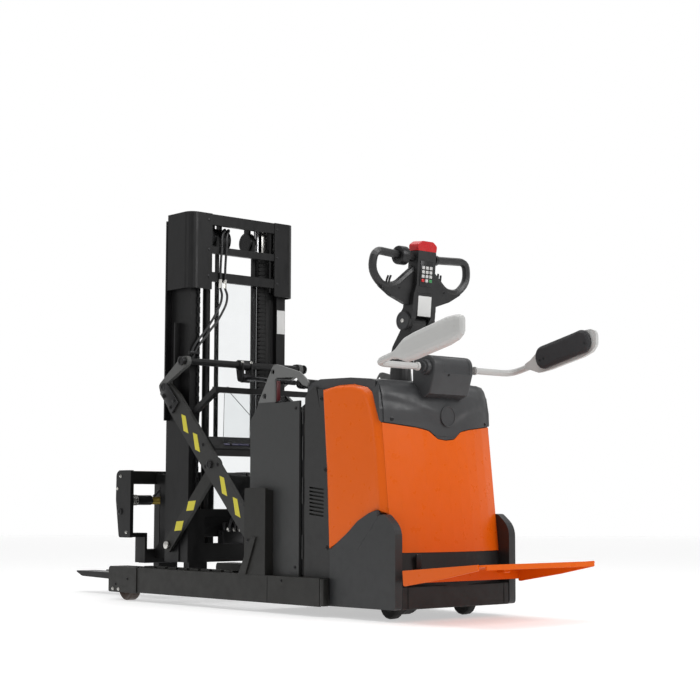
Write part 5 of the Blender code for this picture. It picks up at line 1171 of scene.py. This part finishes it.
@dataclass
class TillerDressing:
    """Keypad, apron, blank plate, pivot discs, thumb wheel, levers and screws of the tiller."""

    pivot: Point = (0.260, 0.0, 1.331)
    lean: float = math.radians(5.0)
    face: float = -0.052
    cheek_y: float = 0.0808
    levers: Sequence[tuple[float, float]] = ((0.214, 0.150), (0.198, 0.152), (-0.105, 0.186), (-0.122, 0.180))
    key_rows: Sequence[float] = (0.246, 0.2265, 0.207, 0.1875)
    key_columns: Sequence[float] = (0.0235, 0.0, -0.0235)

    def at(self, forward: float, across: float, up: float) -> Point:
        """Turn a place on the upright tiller, from its pivot, into a station on the leaning one."""
        return (self.pivot[0] + forward * math.cos(self.lean) - up * math.sin(self.lean), across,
                self.pivot[2] + forward * math.sin(self.lean) + up * math.cos(self.lean))

    @property
    def rearward(self) -> Point:
        """The direction that the tiller's rear face looks in."""
        return (-math.cos(self.lean), 0.0, -math.sin(self.lean))

    def plate(self, size: Point, forward: float, across: float, up: float, edge: float) -> Piece:
        """Model a plate of (wide, tall, thick) on the tiller's rear face."""
        piece = BENCH.block((size[2], size[0], size[1]), edge)
        return BENCH.tilted(piece, self.at(forward, across, up), -self.lean)

    def keypad(self) -> None:
        """Add the keypad's dark panel and its keys."""
        panel = self.plate((0.080, 0.116, 0.004), self.face - 0.001, 0.0, 0.2185, 0.0015)
        BENCH.deliver(panel, "keypad_panel", "black_oxide", Body.TILLER)
        colours: dict[str, list[Piece]] = {"key_white": [], "signal_red": [], "key_green": []}
        for row, up in enumerate(self.key_rows):
            for column, across in enumerate(self.key_columns):
                finish = "key_white"
                if row == 3 and column != 1:
                    finish = "signal_red" if column == 0 else "key_green"
                key = self.plate((0.0165, 0.0140, 0.004), self.face - 0.0045, across, up, 0.0012)
                colours[finish].append(key)
        for finish, keys in colours.items():
            BENCH.group(keys, "keypad_" + finish, finish, Body.TILLER)

    def apron(self) -> None:
        """Close the arm's face down to the pivot and fix the blank plate on it."""
        cover = self.plate((0.090, 0.048, 0.006), self.face + 0.0035, 0.0, 0.046, 0.0015)
        BENCH.deliver(cover, "tiller_apron", "tiller_dark", Body.TILLER)
        blank = self.plate((0.082, 0.092, 0.0012), self.face - 0.0006, 0.0, 0.0710, 0.0004)
        BENCH.deliver(blank, "tiller_blank_plate", "label_white", Body.TILLER)
        ridge = self.plate((0.100, 0.004, 0.002), self.face - 0.001, 0.0, 0.1300, 0.0008)
        BENCH.deliver(ridge, "tiller_ridge", "black_oxide", Body.TILLER)

    def pivot_caps(self) -> None:
        """Add the ringed covers and bright caps over the tiller's pin."""
        rings = []
        caps = []
        for side in Side:
            place = (self.pivot[0], side.value * self.cheek_y, self.pivot[2])
            ring = BENCH.sunk(BENCH.disc(0.040, 0.0030, 48, 0.001), 0.006, -0.0015)
            rings.append(BENCH.set_down(ring, place, side.outward))
            caps.append(BENCH.round(0.0095, 0.0055, place, side.outward, 0.0015, 28))
        BENCH.group(rings, "tiller_pivot_rings", "cover_grey", Body.TILLER)
        BENCH.group(caps, "tiller_pivot_caps", "zinc", Body.TILLER)

    def controls(self) -> None:
        """Add the thumb wheel, the collar, the thumb levers and the web's screws."""
        wheel = BENCH.disc(0.043, 0.042, 40, 0.006)
        BENCH.sunk(wheel, 0.010, -0.004)
        BENCH.set_down(wheel, self.at(-0.013, 0.108, 0.2925), LEFTWARD)
        collar = BENCH.round(0.024, 0.020, self.at(-0.013, -0.078, 0.2905), RIGHTWARD, 0.003)
        BENCH.group([wheel, collar], "travel_thumb_wheel", "black_oxide", Body.TILLER)
        levers = []
        for across, up in self.levers:
            start = self.at(-0.020, across, up)
            tip = self.at(-0.026, across - math.copysign(0.004, across), up + 0.044)
            levers.append(BENCH.run([start, self.at(-0.021, across, up + 0.022), tip], 0.0048))
        BENCH.group(levers, "thumb_levers", "black_oxide", Body.TILLER)
        screws = [(self.at(-0.0285, y, 0.145), self.rearward) for y in (0.141, -0.143)]
        BENCH.bolts("web_screws", screws, 0.0045, 0.003, Body.TILLER, sides=20)

    def build(self) -> None:
        """Add every tiller piece."""
        self.keypad()
        self.apron()
        self.pivot_caps()
        self.controls()


@dataclass
class LinkageDressing:
    """Marks, pins, bolts, the screen's fittings and the rod's clamp on the reach linkage."""

    pivot_x: float = 0.930
    pivot_z: float = 0.290
    angle: float = math.radians(45.4)
    arm_y: float = 0.3715
    link_y: float = 0.3405
    arm_marks: Sequence[Point] = ((0.862, -0.008), (0.7235, -0.004), (0.4117, 0.004), (0.2641, 0.008))
    link_marks: Sequence[Point] = ((1.522, 0.489), (1.6225, 0.388))
    arm_mark_corners: Sequence[Point] = ((0.055, 0.013), (0.023, 0.031), (-0.059, -0.012), (-0.020, -0.031))
    link_mark_corners: Sequence[Point] = ((0.022, 0.022), (-0.040, 0.026), (-0.021, -0.022), (0.040, -0.026))
    mark_gap: float = 0.0004
    mark_thickness: float = 0.0006
    bolt_places: Sequence[Point] = ((0.676, 0.024), (0.585, -0.036), (0.520, 0.040), (0.040, 0.030))
    stud_places: Sequence[Point] = ((1.000, 0.018), (1.000, -0.026), (1.085, -0.026))
    tube: Point = (1.540, 0.3952, 1.212)

    def along(self, far: float, across: float, y: float) -> Point:
        """Give the station of a place on the long arm."""
        return (self.pivot_x + far * math.cos(self.angle) - across * math.sin(self.angle), y,
                self.pivot_z + far * math.sin(self.angle) + across * math.cos(self.angle))

    def marks(self) -> None:
        """Add the yellow slanted marks on arms and links."""
        on_arm = []
        on_link = []
        for side in Side:
            y = side.value * (self.arm_y + self.mark_gap)
            for far, across in self.arm_marks:
                corners = [self.along(far + a, across + b, y) for a, b in self.arm_mark_corners]
                on_arm.append(BENCH.sheet(corners, self.mark_thickness))
            y = side.value * (self.link_y + self.mark_gap)
            for x, z in self.link_marks:
                corners = [(x + a, y, z + b) for a, b in self.link_mark_corners]
                on_link.append(BENCH.sheet(corners, self.mark_thickness))
        BENCH.group(on_arm, "arm_marks", "marking_yellow", Body.ARMS)
        BENCH.group(on_link, "link_marks", "marking_yellow", Body.LINKS)

    def pins(self) -> None:
        """Add the pins' caps, retaining plates and bolts."""
        mid = self.along(0.562, 0.0, 0.3775)
        caps = [mid, (1.7192, 0.3795, 1.0903)]
        cap = BENCH.sunk(BENCH.disc(0.020, 0.005, 32, 0.0015), 0.006, -0.002)
        BENCH.deliver(BENCH.spread(cap, both_sides(caps)), "arm_pin_caps", "black_oxide", Body.ARMS)
        bolts = [self.along(far, across, self.arm_y) for far, across in self.bolt_places]
        BENCH.bolts("arm_bolts", both_sides(bolts), 0.0075, 0.006, Body.ARMS)
        heads = []
        for side in Side:
            head = BENCH.block((0.150, 0.010, 0.078), 0.004)
            heads.append(BENCH.tilted(head, self.along(1.045, -0.004, side.value * 0.3785), -self.angle))
        BENCH.group(heads, "slide_block_plates", "black_oxide", Body.ARMS)
        studs = [self.along(far, across, 0.3835) for far, across in self.stud_places]
        BENCH.bolts("slide_block_bolts", both_sides(studs), 0.0090, 0.008, Body.ARMS)
        foot = BENCH.disc(0.0195, 0.010, 36, 0.004)
        feet = BENCH.spread(foot, both_sides([(1.7192, 0.3460, 0.290)]))
        BENCH.deliver(feet, "mast_foot_pin_heads", "zinc", Body.MAST)

    def screen(self) -> None:
        """Add the clear screen's lower strip, the torsion box's bolts, the hoop's screws and a stay wire."""
        strip = BENCH.block((0.012, 0.560, 0.004), 0.001)
        BENCH.tilted(strip, self.along(0.640, 0.0655, 0.0), -self.angle)
        BENCH.deliver(strip, "screen_foot_strip", "strip_violet", Body.ARMS)
        normal = (-math.sin(self.angle), 0.0, math.cos(self.angle))
        bolts = [(self.along(0.640, 0.0675, y), normal) for y in (-0.24, -0.12, 0.0, 0.12, 0.24)]
        BENCH.bolts("screen_foot_bolts", bolts, 0.006, 0.004, Body.ARMS)
        clips = [((1.335, y, 1.0742), UPWARD) for y in (-0.26, -0.09, 0.09, 0.26)]
        BENCH.bolts("hoop_screws", clips, 0.005, 0.003, Body.ARMS, sides=20)
        wire = BENCH.run([(1.331, 0.258, 1.056), (1.331, 0.123, 0.942)], 0.0016, straight=True)
        BENCH.deliver(wire, "screen_stay", "black_oxide", Body.ARMS)

    def clevis(self) -> None:
        """Add the split clamp round the cross tube that holds the reach rod's eye."""
        x, end_y, z = self.tube
        clamp = BENCH.round(0.026, 0.085, (x, -0.0425, z), LEFTWARD, 0.003)
        bolts = [((1.518, y, 1.226), (-0.8, 0.0, 0.6)) for y in (-0.028, 0.028)]
        BENCH.deliver(clamp, "reach_clevis_clamp", "black_oxide", Body.ARMS)
        BENCH.bolts("reach_clevis_bolts", bolts, 0.006, 0.006, Body.ARMS, "zinc")
        end = BENCH.sunk(BENCH.disc(0.024, 0.010, 32, 0.003), 0.007, -0.003)
        ends = BENCH.spread(end, both_sides([(x, end_y, z)]))
        BENCH.deliver(ends, "cross_tube_caps", "black_oxide", Body.ARMS)

    def build(self) -> None:
        """Add every linkage piece."""
        self.marks()
        self.pins()
        self.screen()
        self.clevis()


@dataclass
class MastDressing:
    """Roller chains, energy chain links, hoses, fittings, valves and blank plate of the mast."""

    chain_pitch: float = 0.0254
    duct_pitch: float = 0.022
    duct_links: int = 50
    hose_radius: float = 0.0062
    valve_hose_radius: float = 0.0075
    sheaves: Sequence[tuple[float, float, float, float]] = (
        (0.070, 0.0315, 0.063, 1.870), (0.118, 0.0145, 0.053, 1.880), (-0.118, 0.0145, 0.053, 1.880))

    def roller_chain(self, x: float, y: float, low: float, high: float) -> Piece:
        """Model a vertical leaf chain of alternating plates and pins.

        Args:
            x: Its station.
            y: Its place across.
            low: Its lower end's height.
            high: Its upper end's height.

        Returns:
            The chain.
        """
        plate = BENCH.block((0.010, 0.0030, self.chain_pitch * 0.92), 0.0015)
        pin = BENCH.disc(0.0028, 0.020, 12)
        pin.data.transform(Matrix.Translation((0.0, -0.010, 0.0)) @ Matrix.Rotation(-math.pi / 2, 4, "X"))
        links = []
        for index in range(int((high - low) / self.chain_pitch)):
            z = low + (index + 0.5) * self.chain_pitch
            for across in ((-0.0065, 0.0065) if index % 2 else (-0.0025, 0.0025)):
                links.append(BENCH.set_down(BENCH.twin(plate), (x, y + across, z)))
            links.append(BENCH.set_down(BENCH.twin(pin), (x, y, z + self.chain_pitch / 2)))
        bpy.data.objects.remove(plate)
        bpy.data.objects.remove(pin)
        return BENCH.joined(links)

    def chains(self) -> None:
        """Hang the lift chains and clip the energy chain's links beside their duct."""
        outer = self.roller_chain(1.5825, 0.2640, 0.480, 1.620)
        BENCH.deliver(outer, "lift_chain_outer", "black_oxide", Body.MAST)
        inner = [self.roller_chain(1.5825, y, 1.600, 1.968) for y in (0.205, -0.231)]
        BENCH.group(inner, "lift_chain_inner", "black_oxide", Body.INNER)
        size = (0.009, 0.046, self.duct_pitch * 0.80)
        heights = [0.725 + index * self.duct_pitch for index in range(self.duct_links)]
        links = [BENCH.slab(size, (1.617, -0.1725, z), 0.002) for z in heights]
        spine = BENCH.slab((0.004, 0.034, 1.110), (1.617, -0.178, 1.265))
        BENCH.group([*links, spine], "energy_chain_links", "tread_black", Body.INNER)

    def hoses(self) -> None:
        """Route the two lift hoses from the drum to their clamp, with bright fittings."""
        upper = []
        lower = []
        fittings = []
        for y, drift in ((0.156, 0.0), (0.126, -0.020)):
            inset = (0.156 - y) * 0.8
            upper.append(BENCH.run([
                (1.628, 0.085 - inset, 1.915), (1.590, 0.095 - inset, 1.918), (1.556, y - 0.020, 1.875),
                (1.5435, y - 0.006, 1.800), (1.5435, y, 1.700), (1.5435, y, 1.648)], self.hose_radius))
            lower.append(BENCH.run([
                (1.5440, y, 1.604), (1.5455, y - 0.012 + drift * 0.2, 1.560),
                (1.5500, y + 0.022 + drift * 0.3, 1.470), (1.5640, 0.238 + drift, 1.372 + drift * 0.4),
                (1.5745, 0.292 + drift * 0.6, 1.300 + drift),
                (1.5790, 0.312 + drift * 0.5, 1.250 + drift)], self.hose_radius))
            fittings.append(BENCH.round(0.0088, 0.045, (1.5438, y, 1.602), UPWARD, 0.001, 6))
        BENCH.group(upper, "drum_hoses", "hose_rubber", Body.INNER)
        BENCH.group(lower, "mast_hoses", "hose_rubber", Body.MAST)
        BENCH.group(fittings, "hose_fittings", "zinc", Body.MAST)
        BENCH.fitted("hose_clamp", (0.022, 0.060, 0.016), (1.5785, 0.292, 1.262), 0.003,
                     "black_oxide", Body.MAST)

    def fittings(self) -> None:
        """Add the blank plate, the bright hanger, the sheave discs and the yoke's screws."""
        BENCH.fitted("mast_blank_plate", (0.0012, 0.053, 0.126), (1.5893, -0.2815, 1.462), 0.0004,
                     "label_white", Body.MAST)
        BENCH.fitted("chain_anchor_plate", (0.003, 0.036, 0.140), (1.6155, -0.1850, 1.897), 0.001,
                     "zinc", Body.INNER)
        rims = []
        for y, half, radius, z in self.sheaves:
            for side in Side:
                rim = BENCH.sunk(BENCH.disc(radius, 0.003, 40, 0.001), 0.012, -0.001)
                place = (1.676, y + side.value * (half - 0.0015), z)
                rims.append(BENCH.set_down(rim, place, side.outward))
        BENCH.group(rims, "sheave_rims", "black_oxide", Body.INNER)
        screws = [((1.5495, y, z), REARWARD) for y in (0.225, -0.225) for z in (1.951, 1.798, 1.658)]
        BENCH.bolts("yoke_bolts", screws, 0.006, 0.004, Body.INNER)

    def valves(self) -> None:
        """Add the cross plate, the valve block and its looped hoses behind the mast's lower window."""
        BENCH.fitted("mast_cross_plate", (0.006, 0.506, 0.105), (1.5950, 0.0, 0.3845), 0.002,
                     "mast_black", Body.MAST)
        block = BENCH.slab((0.050, 0.130, 0.070), (1.564, 0.060, 0.330), 0.004)
        solenoids = [BENCH.round(0.014, 0.040, (1.560, y, 0.364), UPWARD, 0.003, 24)
                     for y in (0.020, 0.060, 0.100)]
        BENCH.group([block, *solenoids], "valve_block", "black_oxide", Body.MAST)
        runs = []
        ends = []
        for index, y in enumerate((-0.030, 0.005, 0.040)):
            runs.append(BENCH.run([
                (1.545, y + 0.050, 0.362), (1.530, y + 0.040, 0.420), (1.538, y - 0.020, 0.448),
                (1.545, y - 0.070, 0.400), (1.552, y - 0.100, 0.320),
                (1.562, y - 0.160, 0.270 + index * 0.012), (1.575, y - 0.220, 0.262)],
                self.valve_hose_radius))
            ends.append(BENCH.round(0.0095, 0.020, (1.545, y + 0.050, 0.358), UPWARD, 0.001, 6))
        BENCH.group(runs, "valve_hoses", "hose_rubber", Body.MAST)
        BENCH.group(ends, "valve_fittings", "zinc", Body.MAST)

    def build(self) -> None:
        """Add every mast piece."""
        self.chains()
        self.hoses()
        self.fittings()
        self.valves()


@dataclass
class CarriageDressing:
    """Bolts, bosses, and the side shift cylinder's band, rings and hose on the fork carriage."""

    bolts: Sequence[Point] = ((2.0796, 0.392, 0.6410), (2.1100, 0.392, 0.5761), (2.020, 0.392, 0.350))

    def build(self) -> None:
        """Add every carriage piece."""
        BENCH.bolts("carriage_plate_bolts", both_sides(self.bolts), 0.0055, 0.006, Body.CARRIAGE, "zinc")
        boss = BENCH.sunk(BENCH.disc(0.018, 0.006, 36, 0.002), 0.006, -0.003)
        bosses = BENCH.spread(boss, both_sides([(2.079, 0.392, 0.4572)]))
        BENCH.deliver(bosses, "carriage_boss", "black_oxide", Body.CARRIAGE)
        band = BENCH.round(0.0200, 0.080, (2.0273, 0.155, 0.514), LEFTWARD, 0.001)
        BENCH.deliver(band, "side_shift_band", "bare_brass", Body.CARRIAGE)
        knurl = [BENCH.round(0.0285, 0.006, (2.0273, 0.330 + step * 0.010, 0.517), LEFTWARD, 0.0015, 24)
                 for step in range(4)]
        BENCH.group(knurl, "side_shift_rings", "zinc", Body.CARRIAGE)
        route = [(2.000, 0.240, 0.535), (1.985, 0.200, 0.572), (1.990, 0.120, 0.580), (2.000, 0.060, 0.545)]
        hose = BENCH.run(route, 0.0065)
        BENCH.deliver(hose, "side_shift_hose", "hose_rubber", Body.CARRIAGE)


@dataclass
class GateDressing:
    """The gates' soft pads, their screws and the tubes' collars."""

    pad_size: Point = (0.334, 0.016, 0.116)
    pad_at: Point = (-0.2755, 0.4000, 1.1918)
    corner: float = 0.052
    rise: float = math.radians(13.5)
    seat_y: float = 0.4096
    cap: float = 0.006
    voxel: float = 0.005
    pressure: float = 4.0
    frames: int = 20
    inner_y: float = 0.3860
    screws: Sequence[tuple[float, float]] = ((-0.1478, 1.1529), (-0.1723, 1.1579), (-0.4134, 1.2104))

    def pad(self, side: Side, body: Body) -> None:
        """Model one gate's pad: a rounded slab whose skin is filled out as cloth under pressure.

        Args:
            side: The machine's side that it is for.
            body: The gate that carries it.
        """
        piece = BENCH.block(self.pad_size)
        BENCH.edit(piece, "EDGE")
        BENCH.pick_edges(piece, lambda first, last: abs(first.y - last.y) > 0.001)
        bpy.ops.mesh.bevel(offset=self.corner, segments=8, affect="EDGES")
        BENCH.clear()
        x, y, z = self.pad_at
        BENCH.activate(BENCH.tilted(piece, (x, side.value * y, z), self.rise))
        piece.data.remesh_voxel_size = self.voxel
        bpy.ops.object.voxel_remesh()
        self.fill_out(piece, side)
        BENCH.apply(piece, "SUBSURF", levels=1, render_levels=1)
        BENCH.deliver(piece, f"soft_gate_pad_{side.word}", "pad_dark", body, 60.0)
        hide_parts(f"gate_pad_{side.word}")

    def fill_out(self, piece: Piece, side: Side) -> None:
        """Blow the pad's skin up as cloth, cap its travel and flatten it on its seat.

        Args:
            piece: The pad.
            side: The machine's side that it is for.
        """
        rest = [vert.co.copy() for vert in piece.data.vertices]
        cloth = piece.modifiers.new("skin", "CLOTH")
        cloth.settings.use_pressure = True
        cloth.settings.uniform_pressure_force = self.pressure
        cloth.settings.effector_weights.gravity = 0.0
        for number in range(1, self.frames + 1):
            bpy.context.scene.frame_set(number)
        bpy.ops.object.modifier_apply(modifier=cloth.name)
        bpy.context.scene.frame_set(1)
        for vert, home in zip(piece.data.vertices, rest):
            moved = vert.co - home
            if moved.length > self.cap:
                vert.co = home + moved.normalized() * self.cap
            if side.value * vert.co.y > self.seat_y:
                vert.co.y = side.value * self.seat_y

    def build(self) -> None:
        """Add every gate piece."""
        for side in Side:
            body = Body.GATE_LEFT if side is Side.LEFT else Body.GATE_RIGHT
            self.pad(side, body)
            inward = (0.0, -float(side.value), 0.0)
            screws = [((x, side.value * self.inner_y, z), inward) for x, z in self.screws]
            BENCH.bolts(f"gate_pad_screws_{side.word}", screws, 0.0040, 0.002, body, sides=20)
            collar = BENCH.round(0.019, 0.012, (0.062, side.value * 0.1765, 1.104), side.outward, 0.003)
            BENCH.deliver(collar, f"gate_collar_{side.word}", "shell_grey", body)


@dataclass
class Studio:
    """Floor, lights and camera."""

    camera_place: Point = (-6.114, 4.984, 0.51)
    heading: float = math.radians(-41.48)
    pitch: float = math.radians(5.494)
    roll: float = math.radians(0.115)
    focal_px: float = 1578.3
    frame_px: float = 700.0
    sensor_mm: float = 36.0
    backdrop_distance: float = 16.0
    plane_size: float = 60.0
    sight: float = 60.0
    world_strength: float = 0.42
    softboxes: Sequence[tuple[str, Point, Point, float, float]] = (
        ("key_softbox", (-5.2, -1.2, 3.6), (-0.6, 0.0, 0.7), 2.4, 120.0),
        ("top_softbox", (-0.4, 0.6, 4.6), (0.0, 0.0, 0.6), 3.2, 105.0),
        ("side_softbox", (0.6, 5.6, 2.4), (0.1, 0.0, 0.8), 3.0, 26.0))
    floor_greys: tuple[Point, Point] = ((0.60, 0.60, 0.60), (0.62, 0.62, 0.62))

    def camera(self) -> None:
        """Create the camera at the photograph's place."""
        data = bpy.data.cameras.new("camera")
        data.sensor_width = self.sensor_mm
        data.lens = self.focal_px / self.frame_px * self.sensor_mm
        data.clip_end = self.sight
        camera = bpy.data.objects.new("camera", data)
        bpy.context.collection.objects.link(camera)
        level = math.cos(self.pitch)
        ahead = Vector((math.cos(self.heading) * level, math.sin(self.heading) * level, math.sin(self.pitch)))
        turn = ahead.to_track_quat("-Z", "Y").to_matrix().to_4x4() @ Matrix.Rotation(self.roll, 4, "Z")
        camera.matrix_world = Matrix.Translation(self.camera_place) @ turn
        bpy.context.scene.camera = camera

    def plane(self, name: str, place: Point) -> Piece:
        """Add one of the studio's large planes, level, under its plain name.

        Args:
            name: Its plain name.
            place: Its middle.

        Returns:
            The plane.
        """
        BENCH.clear()
        bpy.ops.mesh.primitive_plane_add(size=self.plane_size, location=place)
        plane = bpy.context.active_object
        plane.name = name
        return plane

    def glow(self, graph: Graph, strength: float, specular: float) -> bpy.types.Material:
        """Let a material shine white with a strength, set its specular level and return it.

        Args:
            graph: The material's node helper.
            strength: The strength of its white emission.
            specular: Its specular level.

        Returns:
            The material.
        """
        graph.set("Specular IOR Level", specular)
        graph.set("Emission Color", (1.0, 1.0, 1.0, 1.0))
        graph.set("Emission Strength", strength)
        return graph.material

    def floor(self) -> None:
        """Lay a large pale floor."""
        floor = self.plane("studio_floor", (0.0, 0.0, 0.0))
        graph = Graph("studio_floor_paint")
        mottle = graph.noise(1.3, 2.0)
        graph.link(graph.mix(mottle, *self.floor_greys), graph.shader.inputs["Base Color"])
        graph.set("Roughness", 0.7)
        floor.data.materials.append(self.glow(graph, 0.50, 0.1))

    def backdrop(self) -> None:
        """Hang a large white backdrop far behind the machine."""
        ahead = Vector((math.cos(self.heading), math.sin(self.heading), 0.0))
        wall = self.plane("studio_backdrop", ahead * self.backdrop_distance)
        wall.rotation_euler = ahead.to_track_quat("Z", "Y").to_euler()
        graph = Graph("backdrop_white")
        graph.set("Base Color", (0.0, 0.0, 0.0, 1.0))
        wall.data.materials.append(self.glow(graph, 1.0, 0.0))

    def light(self, name: str, place: Point, target: Point, size: float, power: float) -> None:
        """Hang a square area light.

        Args:
            name: The light's name.
            place: Where it hangs.
            target: What it points at.
            size: Its edge length.
            power: Its power in watts.
        """
        data = bpy.data.lights.new(name, "AREA")
        data.shape = "SQUARE"
        data.size = size
        data.energy = power
        lamp = bpy.data.objects.new(name, data)
        bpy.context.collection.objects.link(lamp)
        aim = (Vector(target) - Vector(place)).to_track_quat("-Z", "Y").to_matrix().to_4x4()
        lamp.matrix_world = Matrix.Translation(place) @ aim

    def build(self) -> None:
        """Set up the whole stage."""
        self.camera()
        self.floor()
        self.backdrop()
        for name, place, target, size, power in self.softboxes:
            self.light(name, place, target, size, power)
        world = bpy.data.worlds.new("studio_world")
        world.use_nodes = True
        inputs = world.node_tree.nodes["Background"].inputs
        inputs["Color"].default_value = (1.0, 1.0, 1.0, 1.0)
        inputs["Strength"].default_value = self.world_strength
        bpy.context.scene.world = world
        bpy.context.scene.view_settings.view_transform = "Standard"
        LOG.info("stage, lights and camera")


def main() -> None:
    """Dress the frame and set up the studio."""
    logging.basicConfig(level=logging.INFO, format="%(message)s")
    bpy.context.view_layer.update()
    Studio().build()
    SHOP.dress_nodes()
    for dressing in (LegDressing(), BayDressing(), BodyDressing(), HoodDressing(), TillerDressing(),
                     LinkageDressing(), MastDressing(), CarriageDressing(), GateDressing()):
        dressing.build()
        LOG.info("%s done", type(dressing).__name__)


if __name__ == "__main__":
    main()
